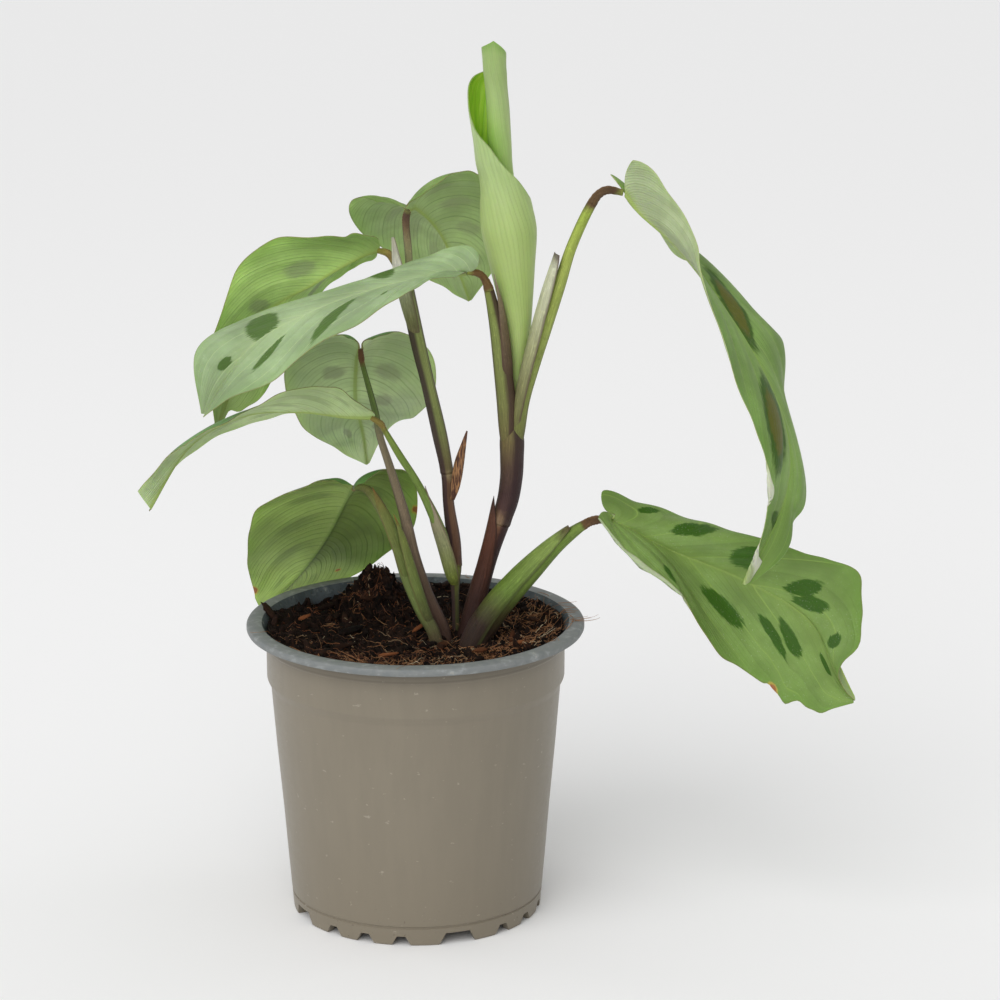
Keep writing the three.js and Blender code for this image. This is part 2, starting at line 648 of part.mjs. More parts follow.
const plant = new THREE.Group();
plant.position.copy(POT_AXIS);
plant.add(pot());
plant.add(soil(STEMS.filter((stem) => stem.rooted).map(stemHole)));
for (const stem of STEMS) plant.add(...stemPieces(stem));
for (const leaf of BLADES) plant.add(blade(leaf));
plant.add(rolledLeaf());

export default plant;
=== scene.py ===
"""A prayer plant in its nursery pot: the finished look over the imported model.

Sizes in the tables are millimetres from the pot's axis and the ground, as in the part's source.
"""

import math
import random

import bmesh
import bpy
import numpy as np
from bpy.props import FloatProperty, FloatVectorProperty, IntProperty, PointerProperty
from mathutils import Euler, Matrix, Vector, noise


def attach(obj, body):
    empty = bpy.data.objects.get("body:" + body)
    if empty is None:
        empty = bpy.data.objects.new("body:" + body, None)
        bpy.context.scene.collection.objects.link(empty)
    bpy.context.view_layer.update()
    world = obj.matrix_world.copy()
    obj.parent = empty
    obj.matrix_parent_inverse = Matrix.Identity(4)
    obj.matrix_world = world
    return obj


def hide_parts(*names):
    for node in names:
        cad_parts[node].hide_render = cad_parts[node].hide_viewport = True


bl_info = {
    "name": "Prayer plant in a nursery pot",
    "version": (1, 0, 0),
    "blender": (4, 5, 0),
    "location": "3D View > Sidebar > Prayer Plant",
    "description": "Builds the leaves, stalks, soil, pot and studio of a potted prayer plant",
    "category": "Add Mesh",
}

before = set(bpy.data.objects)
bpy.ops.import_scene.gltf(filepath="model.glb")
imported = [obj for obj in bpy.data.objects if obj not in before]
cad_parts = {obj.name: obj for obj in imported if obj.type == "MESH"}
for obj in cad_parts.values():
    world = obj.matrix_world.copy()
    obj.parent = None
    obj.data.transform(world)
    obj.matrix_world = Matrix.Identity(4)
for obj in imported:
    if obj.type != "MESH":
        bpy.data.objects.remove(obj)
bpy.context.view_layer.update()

MM = 0.001
POT_AXIS = np.array([-33.0, -3.0, 0.0])

# The camera looks straight back and a little down. The lights point at the plant's middle.
CAMERA_PLACE = (30.0, -1226.0, 475.0)
CAMERA_PITCH = 14.84
CAMERA_LENS = 129.6
PLANT_MIDDLE = (0, 0, 0.16)
KEY_PLACE = (-0.8, -1.6, 1.7)
KEY_SPREAD = 60

# Softboxes: name, place, width, height and the setting that gives the power.
SOFTBOXES = [
    ("front softbox", (-0.5, -1.7, 0.72), 1.2, 1.0, "front_power"),
    ("left strip", (-1.0, 0.35, 0.68), 0.3, 1.0, "side_power"),
    ("right strip", (1.0, 0.35, 0.68), 0.3, 1.0, "side_power"),
]

# Share of a margin at which the blade's first and last rows meet it.
BLADE_START = 0.15
BLADE_END = 0.992
BLADE_ROWS = 130
BLADE_COLUMNS = 28
COLUMN_SPREAD = 1.35

# Shares of the blade over which a shift at the joint fades and over which its lobes bulge.
BASE_SHIFT_FADE = 0.03
LOBE_LENGTH = 0.14

# The bend of a margin that is turned over, as a radius and the angle at which it lies flat again.
HEM_RADIUS = 0.5
HEM_TURN = 3.0

# The midrib and its groove: height and half width. They thin out towards the tip.
MIDRIB_RIDGE = (0.8, 0.8)
MIDRIB_GROOVE = (0.35, 0.7)

# The face colours also hold painted light: a leaf that lies in more shade was given a lighter
# colour.
# Blades: the midrib from the joint to the tip and each margin between the same two points. left
# and right are as seen from above, looking towards the tip: sides -1 and 1 in the other entries.
# A place is a share: along from the joint to the tip, and out from the midrib to the margin.
# arch: rise of each half; ripple: waves at the margin; lobe: bulge beside the joint.
# base_shift: the midrib's own shift at the joint; ends: where a margin ends, if not at the tip.
# upper, under, stain, edge, midrib_tint: colours of the faces, blotches, margin and lower midrib.
# blotches, scorch: side, place along and out, half length outwards and along, and forward lean.
# nicks, moves: side, place along, half length, and the share or the shift by which a margin moves.
# hem: side, and how far the margin is turned over at places along.
# fold: the stretch in which the turned margin shows its pale face, and its colour.
# lean: how far the side veins lean forward, at the joint and from there to the tip.
# far_shade: the stretch over which painted shade darkens the blade towards the tip, and its last
# brightness.
# heart: strength of the brown middles of the blotches.
USUAL_BLOTCHES = [
    (side, along, 0.42, reach, wide, 0.15)
    for side in (-1, 1)
    for along, reach, wide in (
        (0.36, 0.2, 0.026), (0.49, 0.26, 0.038), (0.62, 0.26, 0.042), (0.75, 0.22, 0.038),
        (0.86, 0.15, 0.024),
    )
]

USUAL_LEAN = {-1: (0.24, 0), 1: (0.24, 0)}
USUAL_LOBE = 1.8
VEINED_LENGTH = 0.9

# Blades whose upper side faces the front. A blade's stain colour is the one on its front side.
FRONT_SIDES = ("leaf_front_long", "leaf_drooping", "leaf_right_low")
UNSEEN_STAIN = (56, 82, 26)

BLADES = [
    {
        "name": "leaf_left_high",
        "arch": 2,
        "ripple": 0.5,
        "upper": (118, 150, 84),
        "under": (176, 204, 122),
        "stain": (124, 132, 102),
        "midrib": [
            (-13, 18, 236), (-20, 14, 234), (-35, 14, 225), (-54, 18, 211), (-71.5, 24, 169),
        ],
        "left": [
            (-12, 14, 240), (-14, 8, 243), (-21, 1, 245), (-32, -3, 245), (-48, 1, 243),
            (-61, 3, 233), (-66, 1, 219), (-73, 14, 197),
        ],
        "right": [
            (-13, 22, 234), (-15, 26, 231), (-21, 31, 228), (-27, 35, 223), (-35, 37, 216),
            (-44, 33, 204), (-49, 23, 193), (-56, 15, 182),
        ],
        "blotches": [
            (-1, 0.635, 0.308, 0.19, 0.055, 0.01), (-1, 0.8, 0.3, 0.27, 0.024, -0.06),
            *USUAL_BLOTCHES[5:],
        ],
        "nicks": [(-1, 0.374, 0.03, -0.12), (1, 0.93, 0.03, -0.1), (1, 0.968, 0.018, -0.6)],
        "far_shade": (0.82, 0.9, 0.46),
    },
    {
        "name": "leaf_back_high",
        "arch": 3,
        "ripple": 0.6,
        "upper": (122, 146, 84),
        "under": (170, 190, 130),
        "stain": (146, 156, 116),
        "midrib": [(-2, 14, 251), (1, 21, 250), (8, 35, 240), (14, 48, 225), (19, 58, 209)],
        "left": [
            (-11, 16, 253), (-20, 18, 255), (-23, 22, 249), (-19, 35, 239), (-11, 54, 229),
            (-1, 63, 219), (10, 66, 213),
        ],
        "right": [
            (0, 10, 255), (4, 8, 258), (12, 10, 264), (20, 16, 264), (28, 25, 258), (31, 33, 246),
            (30, 46, 228),
        ],
        "blotches": USUAL_BLOTCHES,
    },
    {
        "name": "leaf_front_long",
        "arch": 2,
        "ripple": 0.5,
        "upper": (157, 178, 134),
        "under": (158, 178, 120),
        "stain": (74, 104, 40),
        "midrib": [
            (18, -8, 233), (10, -13, 233), (-8, -24, 232), (-32, -36, 226), (-54, -46, 215),
            (-70, -52, 192),
        ],
        "left": [
            (17, -14, 233), (12, -20, 234), (7, -28, 235), (2, -38, 234), (-5, -47, 232),
            (-17, -55, 225), (-32, -61, 219), (-45, -60, 207), (-61, -57, 200),
        ],
        "right": [
            (24, -8, 237), (19, -9, 243), (9, 1, 239), (-1, 3, 235), (-14, 1, 230), (-28, -4, 226),
            (-43, -12, 223), (-59, -25, 220), (-72, -47, 214),
        ],
        "blotches": [
            (1, 0.822, 0.3, 0.36, 0.034, -0.075), (-1, 0.829, 0.461, 0.24, 0.015, 0.1),
            (-1, 0.684, 0.532, 0.4, 0.024, 0.06), (1, 0.914, 0.264, 0.15, 0.014, 0.013),
            (1, 0.522, 0.62, 0.34, 0.036, -0.1), (-1, 0.572, 0.468, 0.09, 0.011, -0.07),
        ],
        "far_shade": (0.7, 1, 0.84),
    },
    {
        "name": "leaf_back_mid",
        "arch": 3,
        "ripple": 0.6,
        "lobe": 0.3,
        "upper": (112, 146, 90),
        "under": (198, 214, 164),
        "stain": (148, 150, 124),
        "midrib": [(-19, 12, 202), (-21, 21, 195), (-22, 35, 178), (-20, 50, 162), (-19, 61, 147)],
        "left": [
            (-22, 10, 205), (-26, 8, 208), (-35, 8, 206), (-42, 11, 200), (-46, 16, 192),
            (-45, 20, 181), (-39, 25, 169), (-30, 63, 153),
        ],
        "right": [
            (-17, 10, 205), (-10, 12, 207), (-3, 20, 206), (3, 28, 200), (7, 29, 192),
            (6, 26, 181), (-1, 53, 168), (-10, 67, 161),
        ],
        "blotches": [
            (1, 0.578, 0.41, 0.2, 0.042, 0.1), (-1, 0.561, 0.29, 0.2, 0.042, 0.1),
            (1, 0.7, 0.36, 0.16, 0.034, 0.1), (-1, 0.7, 0.36, 0.16, 0.034, 0.1),
            (1, 0.84, 0.36, 0.12, 0.026, 0.1), (-1, 0.84, 0.36, 0.12, 0.026, 0.1),
        ],
    },
    {
        "name": "leaf_left_low",
        "arch": 2,
        "ripple": 0.5,
        "upper": (112, 150, 86),
        "under": (196, 215, 160),
        "stain": (150, 166, 120),
        "midrib": [
            (-15, -4, 181), (-24, -7, 182), (-39, -12, 185), (-58, -18, 185), (-77, -23, 175),
            (-91.5, -27, 152.3),
        ],
        "left": [
            (-13, -4, 182), (-19, -11, 188), (-26, -16, 194), (-35, -23, 196), (-46, -32, 194),
            (-59, -38, 190), (-72, -39, 183), (-85, -35, 173),
        ],
        "right": [
            (-14, -5, 180), (-19, 3, 180), (-29, 7, 180), (-40, 7, 180), (-51, 4, 179),
            (-63, -1, 176), (-75, -7, 171), (-85, -17, 164),
        ],
        "blotches": USUAL_BLOTCHES,
        "ends": {-1: (-95.5, -27, 159.5)},
        "nicks": [(-1, 0.52, 0.07, 0.15), (-1, 0.74, 0.05, -0.12), (-1, 0.85, 0.03, 0.15)],
        "far_shade": (0.72, 0.95, 0.8),
    },
    {
        "name": "leaf_over_rim",
        "arch": 3,
        "ripple": 0.6,
        "upper": (100, 138, 76),
        "under": (152, 174, 98),
        "stain": (122, 142, 82),
        "midrib": [(-22, 8, 152), (-25, 18, 145), (-34, 35, 125), (-45, 51, 107), (-59, 60, 91)],
        "left": [
            (-25, 6, 154), (-30, 2, 157), (-39, 3, 154), (-55, 17, 144), (-60, 21, 133),
            (-62, 36, 117), (-62, 67, 97),
        ],
        "right": [
            (-19, 6, 154), (-13, 8, 158), (-5, 21, 156), (0, 29, 146), (-2, 37, 129),
            (-15, 54, 113), (-33, 64, 100),
        ],
        "blotches": USUAL_BLOTCHES,
        "scorch": [
            (-1, 0.87, 1.0, 0.09, 0.02, 0), (1, 0.817, 0.68, 0.035, 0.008, 0),
            (1, 0.561, 0.98, 0.05, 0.013, 0),
        ],
        "midrib_tint": (112, 136, 70),
    },
    {
        "name": "leaf_drooping",
        "arch": 2,
        "ripple": 0.4,
        "upper": (117, 147, 74),
        "under": (172, 184, 144),
        "stain": (46, 78, 0),
        "midrib": [
            (73, -5, 260), (78, -7, 254), (93, -17, 241), (113, -30, 215), (126, -40, 189),
            (127, -45, 164), (112, -50, 132),
        ],
        "left": [
            (67, -6, 264), (69, -1, 266), (79, 4, 256), (87, 2, 242), (93, 3, 236), (103, 2, 233),
            (118, -4, 219), (128, -11, 207), (130, -18, 187), (135, -32, 162), (128, -42, 148),
        ],
        "right": [
            (70.5, -6.5, 270.5), (77, -7.5, 272), (85.5, -11, 267), (92, -21, 258), (95, -33, 249),
            (97, -43, 238), (103, -51, 223), (109, -56, 206), (115, -59, 191), (120, -60, 175),
            (119, -55, 156),
        ],
        "blotches": [
            (-1, 0.625, 0.17, 0.22, 0.062, -0.21), (1, 0.782, 0.4, 0.38, 0.066, 0.066),
            (1, 0.922, 0.395, 0.392, 0.0102, -0.038),
        ],
        "nicks": [
            (1, 0.28, 0.05, -0.14), (1, 0.43, 0.04, 0.08), (1, 0.67, 0.07, 0.1),
            (1, 0.84, 0.03, 0.1), (-1, 0.76, 0.045, -0.27), (-1, 0.64, 0.025, 0.08),
        ],
        "hem": (1, [
            (0, 0), (0.4, 0), (0.5, 0.8), (0.7, 0.6), (0.81, 0.8), (0.835, 2.2), (0.857, 3.6),
            (0.872, 3), (0.89, 0), (0.94, 0), (0.96, 3.5), (0.975, 8), (0.99, 9), (1, 9),
        ]),
        "moves": [(-1, 0.95, 0.04, (3.9, 0, 0)), (-1, 0.888, 0.018, (-1.6, 0, 0.4))],
        "fold": (0.8, 1.1, (206, 210, 188)),
        "heart": 0.66,
        "edge": (176, 186, 146),
    },
    {
        "name": "leaf_right_low",
        "arch": 2,
        "ripple": 0.6,
        "upper": (113, 138, 72),
        "under": (152, 172, 118),
        "stain": (40, 78, 0),
        "midrib": [
            (67, -10, 146), (73, -11, 144), (89, -14, 136), (114, -20, 127), (139, -27, 113),
            (154, -36, 87),
        ],
        "left": [
            (66, -7, 151), (67, -4, 155), (80, -1, 151), (93, -2, 145), (106, -7, 143),
            (118, -13, 140), (134, -19, 136), (153.5, -22, 132.5), (156.5, -27, 117),
            (147, -37, 97),
        ],
        "right": [
            (64, -10, 148), (69, -20, 142), (74, -25, 137), (81, -29, 132), (90, -33, 127),
            (96, -38, 120), (104, -34, 108), (113.5, -29, 98), (126, -32, 89.5), (139.5, -35, 84),
        ],
        "blotches": [
            (-1, 0.33, 0.663, 0.19, 0.024, -0.02), (-1, 0.483, 0.624, 0.31, 0.04, -0.08),
            (-1, 0.657, 0.497, 0.33, 0.046, -0.16), (-1, 0.78, 0.436, 0.23, 0.02, -0.05),
            (-1, 0.82, 0.364, 0.24, 0.02, -0.02), (-1, 0.872, 0.6, 0.12, 0.014, -0.05),
            (1, 0.489, 0.644, 0.14, 0.04, -0.06), (1, 0.699, 0.417, 0.17, 0.046, 0.17),
            (1, 0.808, 0.419, 0.17, 0.018, 0.15), (1, 0.842, 0.345, 0.16, 0.02, 0.11),
            (1, 0.918, 0.308, 0.08, 0.013, 0.16),
        ],
        "nicks": [
            (-1, 0.27, 0.05, -0.15), (-1, 0.6, 0.05, 0.08), (-1, 0.705, 0.03, -0.08),
            (-1, 0.79, 0.03, -0.04), (-1, 0.862, 0.018, 0.14), (-1, 0.93, 0.02, -0.12),
            (1, 0.45, 0.03, 0.07), (1, 0.535, 0.03, -0.12), (1, 0.65, 0.06, 0.09),
            (1, 0.8, 0.009, -0.035), (1, 0.84, 0.013, 0.07), (1, 0.872, 0.012, -0.04),
            (1, 0.925, 0.015, 0.05),
        ],
        "lean": {-1: (-0.354, 0.605), 1: (0.25, 0)},
        "scorch": [(1, 0.813, 1.0, 0.07, 0.012, 0)],
        "hem": (1, [
            (0, 0), (0.16, 1.2), (0.22, 2.9), (0.32, 3.9), (0.42, 3.5), (0.5, 2.2), (0.56, 0.8),
            (0.6, 0), (1, 0),
        ]),
        "fold": (0.1, 0.6, (170, 182, 148)),
        "moves": [(1, 0.15, 0.02, (-2, 0, 2.8))],
        "base_shift": (2.4, 0, -0.3),
        "lobe": 2.6,
    },
]

# Rolled young leaf: height, the roll's axis, its inner and outer radius and the angles at which the
# inner and the outer margin lie.
ROLL_ROWS = [
    (173.4, 34.5, 0.6, 1.5, -200, 400), (186, 35.6, 0.8, 1.7, -200, 400),
    (198, 36.3, 1.1, 2.4, -200, 400), (208, 36.3, 1.9, 4, -210, 400),
    (220, 35.5, 2.6, 5.7, -230, 400), (234, 34.2, 3.1, 7.8, -250, 398),
    (246, 33.1, 3.5, 9.5, -268, 396), (254, 32.2, 3.6, 9, -268, 382),
    (259, 31.7, 3.7, 8.3, -268, 342), (264.5, 31, 3.7, 8.1, -268, 310),
    (270, 30.3, 3.8, 8.6, -268, 276), (276.5, 29.9, 3.9, 8.9, -268, 246),
    (282, 29.6, 3.9, 9.4, -268, 210), (288.8, 29.3, 3.8, 10.1, -268, 188),
    (295.5, 28.8, 3.7, 9.7, -268, 178), (299.2, 28.5, 3.8, 8.4, -268, 165),
    (302.6, 28.3, 3.9, 6.6, -268, 120), (306, 28.1, 3.9, 6, -268, 80),
    (312.2, 27.9, 4.1, 4.2, -268, 84),
]
ROLL_DEPTH = 2.8
ROLL_GRID = (180, 140)
# Degrees from which and over which its radius grows from the inner to the outer one.
ROLL_OPENING = (50, 100)

# The slant of its top: how far its high side lies from the right in degrees, the height at which it
# starts, over what height it grows, and how far it drops.
ROLL_HIGH_SIDE = 92
ROLL_TIP_START = 287
ROLL_TIP_HEIGHT = 25
ROLL_TIP_DROP = 5.5

# Half the thickness of the rolled leaf and of the sheath ends.
THIN_HALF = 0.18

# Stems: points with their radius, the pieces that the route is cut into (the node that each stands
# for, the point where it ends and its kind, which tells joints and sheathed pieces apart), and the
# colours along the whole route. edge is the colour at the sides, partly painted shade, edge_share
# its strength, joint_edge the same colour for the joint, painted_shade_side the painted shade side:
# -1 right, 1 left.
TUBE_SIDES = 30
RINGS_TO_A_SPAN = 12
SHEATH_LAP = 0.14
STEMS = [
    {
        "points": [
            (17.7, 1.5, 86, 3.3), (18.2, 1.5, 92, 3.4), (19.7, 1.5, 104, 3.3),
            (24.3, 0.5, 122, 2.9), (27.2, 0, 132.6, 3), (30, 0, 141.8, 3.5), (32.7, 0, 150, 3.8),
            (34, 0, 158.5, 4), (34.2, 0, 166, 4.2), (34.2, -0.2, 173, 4.2), (34.2, -0.2, 178, 2.2),
        ],
        "pieces": [("shoot_front_base", 5, "stem_brown"), ("shoot_front_stem", 10, "stem_purple")],
        "colours": [
            (0, (44, 28, 24)), (0.25, (60, 36, 28)), (0.46, (94, 58, 42)), (0.495, (116, 82, 60)),
            (0.505, (138, 114, 88)), (0.53, (126, 100, 76)), (0.57, (76, 52, 48)),
            (0.64, (66, 44, 42)), (0.76, (84, 64, 50)), (0.86, (106, 92, 58)), (1, (120, 112, 66)),
        ],
        "edge": (48, 28, 30),
        "painted_shade_side": -1,
    },
    {
        "points": [
            (33, -0.8, 166, 2), (32.7, -1, 176, 3), (32.2, -1.3, 187, 3.3), (30.7, -1.9, 201, 3.1),
            (28.7, -3, 214.5, 2.5), (26.2, -4, 226.3, 1.75), (24.4, -5, 230.8, 1.3),
            (22.2, -6.5, 232.8, 1.25), (18.6, -7.7, 233.4, 0.95),
        ],
        "pieces": [
            ("stalk_front_long", 5, "stem_sheath"), ("pulvinus_front_long", 8, "leaf_joint"),
        ],
        "colours": [
            (0, (112, 100, 60)), (0.12, (114, 108, 64)), (0.26, (120, 124, 70)),
            (0.5, (132, 144, 78)), (0.61, (130, 140, 70)), (0.64, (108, 82, 48)),
            (0.93, (112, 84, 48)), (1, (150, 164, 76)),
        ],
        "painted_shade_side": -1,
        "edge": (70, 46, 42),
    },
    {
        "points": [
            (35.6, -0.8, 167, 1.8), (36.4, -1, 176, 2.5), (37.9, -1.2, 187, 2.7),
            (41.8, -1.4, 200.5, 2.6), (45.8, -1.9, 213, 2.5), (50.6, -3, 227.9, 2.2),
            (54.2, -4, 240, 1.9), (58.2, -5, 250, 1.8), (61.6, -5, 256.8, 1.7),
            (64, -5.5, 260.2, 1.5), (67.2, -5.5, 261.6, 1.45), (72.2, -5.2, 260.6, 1.1),
        ],
        "pieces": [("stalk_drooping", 8, "stem_green"), ("pulvinus_drooping", 11, "leaf_joint")],
        "colours": [
            (0, (96, 92, 54)), (0.12, (118, 124, 66)), (0.27, (144, 158, 80)),
            (0.5, (170, 184, 92)), (0.68, (164, 184, 78)), (0.72, (100, 76, 48)),
            (0.95, (88, 66, 44)), (1, (146, 156, 76)),
        ],
        "edge_share": 0.35,
    },
    {
        "points": [
            (15.8, -8.5, 86, 4.6), (18.6, -8.5, 94, 4.8), (23.6, -8.5, 105.6, 5.1),
            (31.8, -9, 117.2, 4.8), (40.5, -9.5, 126.9, 4.1), (49.3, -10, 136.1, 3),
            (56.6, -10, 141.9, 2), (59.3, -10, 143.7, 1.7), (61.3, -10, 144.9, 1.6),
            (63.8, -10, 145.6, 1.6), (67.2, -10, 145.9, 1.2),
        ],
        "pieces": [("stalk_right_low", 7, "stem_green"), ("pulvinus_right_low", 10, "leaf_joint")],
        "colours": [
            (0, (46, 32, 28)), (0.2, (54, 40, 32)), (0.27, (74, 70, 38)), (0.34, (98, 118, 48)),
            (0.5, (108, 134, 50)), (0.66, (122, 142, 66)), (0.71, (104, 78, 48)),
            (0.95, (92, 66, 44)), (1, (130, 140, 66)),
        ],
        "edge_share": 0.3,
    },
    {
        "points": [
            (14.3, 5, 87, 1.3), (14.3, 5, 96, 1.3), (14.3, 5, 104, 1.3), (14.1, 5.5, 114, 1.4),
            (14, 6, 119.5, 1.9), (14, 6, 124.5, 2.4), (13.5, 6, 134, 2.5), (11.8, 6, 147.5, 2),
            (11.3, 6, 158.6, 2.2), (8.9, 6, 172, 2.6), (4.9, 7, 190, 2.4), (1.6, 8, 204, 2.6),
            (-1.5, 9, 219, 2.6), (-2.7, 10, 226.5, 2.2),
        ],
        "pieces": [
            ("shoot_back_foot", 5, "stem_green"), ("shoot_back_stem", 8, "stem_purple"),
            ("shoot_back_sheath", 13, "stem_sheath"),
        ],
        "colours": [
            (0, (60, 56, 34)), (0.22, (80, 82, 44)), (0.31, (116, 122, 56)), (0.38, (124, 130, 62)),
            (0.4, (100, 70, 52)), (0.48, (104, 74, 54)), (0.59, (118, 88, 64)),
            (0.612, (150, 132, 96)), (0.63, (108, 98, 62)), (0.72, (122, 130, 74)),
            (0.86, (138, 148, 86)), (1, (148, 152, 102)),
        ],
        "edge_share": 0.8,
        "painted_shade_side": 1,
    },
    {
        "points": [
            (-1.4, 10.4, 222, 1), (-1.9, 12, 235.6, 1.3), (-2.5, 13, 242.1, 1.3),
            (-2.8, 13.5, 245.6, 1.3), (-2.8, 13.8, 248.4, 1.35), (-2.2, 14, 250.8, 1.2),
        ],
        "pieces": [("stalk_back_high", 3, "stem_green"), ("pulvinus_back_high", 5, "leaf_joint")],
        "colours": [
            (0, (140, 148, 100)), (0.3, (142, 134, 96)), (0.5, (122, 102, 74)),
            (0.76, (94, 70, 54)), (0.9, (84, 62, 48)), (1, (120, 120, 66)),
        ],
    },
    {
        "points": [
            (-3.4, 9.4, 223, 0.9), (-5.6, 13, 229.6, 1.1), (-7.3, 15, 232.8, 1.2),
            (-9.3, 16.3, 235.3, 1.3), (-12.8, 18, 236, 1),
        ],
        "pieces": [("stalk_left_high", 2, "stem_green"), ("pulvinus_left_high", 4, "leaf_joint")],
        "colours": [
            (0, (140, 142, 90)), (0.4, (146, 140, 78)), (0.6, (138, 116, 62)), (1, (158, 152, 70)),
        ],
    },
    {
        "points": [
            (11.8, -0.5, 87, 2.1), (11.1, -0.6, 95, 2.2), (9.7, 0, 103, 2.3), (4.1, 1, 115, 2.4),
            (-0.5, 2, 128.4, 2.4), (-3.6, 3, 143.5, 1.9), (-8.5, 6, 159.5, 1.5),
            (-12.4, 9, 171.2, 1.3), (-14.1, 10, 180.4, 1.2), (-18.2, 12, 195.5, 0.9),
            (-18.8, 12, 198.6, 1.1), (-19.1, 12, 202, 0.9),
        ],
        "pieces": [("stalk_back_mid", 9, "stem_green"), ("pulvinus_back_mid", 11, "leaf_joint")],
        "colours": [
            (0, (62, 44, 40)), (0.22, (92, 70, 58)), (0.4, (126, 108, 88)), (0.62, (140, 128, 102)),
            (0.72, (98, 118, 58)), (0.81, (106, 130, 62)), (0.85, (112, 78, 46)),
            (1, (104, 72, 44)),
        ],
        "edge_share": 0.45,
    },
    {
        "points": [
            (12.6, 3.4, 122, 1.4), (10.4, 0.8, 134.9, 1.8), (7.4, 0, 142.9, 1.9),
            (3.6, -1, 151.5, 1.5), (-0.2, -2.5, 159.2, 1.3), (-5, -3.2, 167, 1.3),
            (-10.3, -4, 176.4, 1), (-11.7, -4.4, 178.9, 1.15), (-15, -4.1, 181, 0.9),
        ],
        "pieces": [("stalk_left_low", 6, "stem_green"), ("pulvinus_left_low", 8, "leaf_joint")],
        "colours": [
            (0, (118, 122, 72)), (0.2, (120, 142, 72)), (0.6, (122, 146, 68)),
            (0.72, (130, 150, 68)), (0.8, (142, 122, 64)), (1, (146, 132, 64)),
        ],
        "edge_share": 0.25,
    },
    {
        "points": [
            (8.5, -8, 87, 2.1), (8.3, -7.8, 96, 2.2), (6.4, -7, 104, 2.3), (2.4, -6, 111.2, 2.3),
            (-2.8, -4, 123, 2.2), (-6.7, -2, 136, 2.2), (-11.6, 1, 146.2, 2),
            (-15.8, 4, 151.8, 1.7), (-18.3, 6.2, 152.9, 1.3), (-21, 7.4, 152.6, 1),
        ],
        "pieces": [("stalk_over_rim", 7, "stem_sheath"), ("pulvinus_over_rim", 9, "leaf_joint")],
        "colours": [
            (0, (66, 52, 42)), (0.2, (88, 80, 54)), (0.35, (108, 122, 66)), (0.6, (120, 134, 70)),
            (0.72, (116, 124, 64)), (0.8, (104, 104, 56)), (1, (104, 118, 58)),
        ],
        "joint_edge": (86, 92, 46),
        "edge_share": 0.35,
    },
]

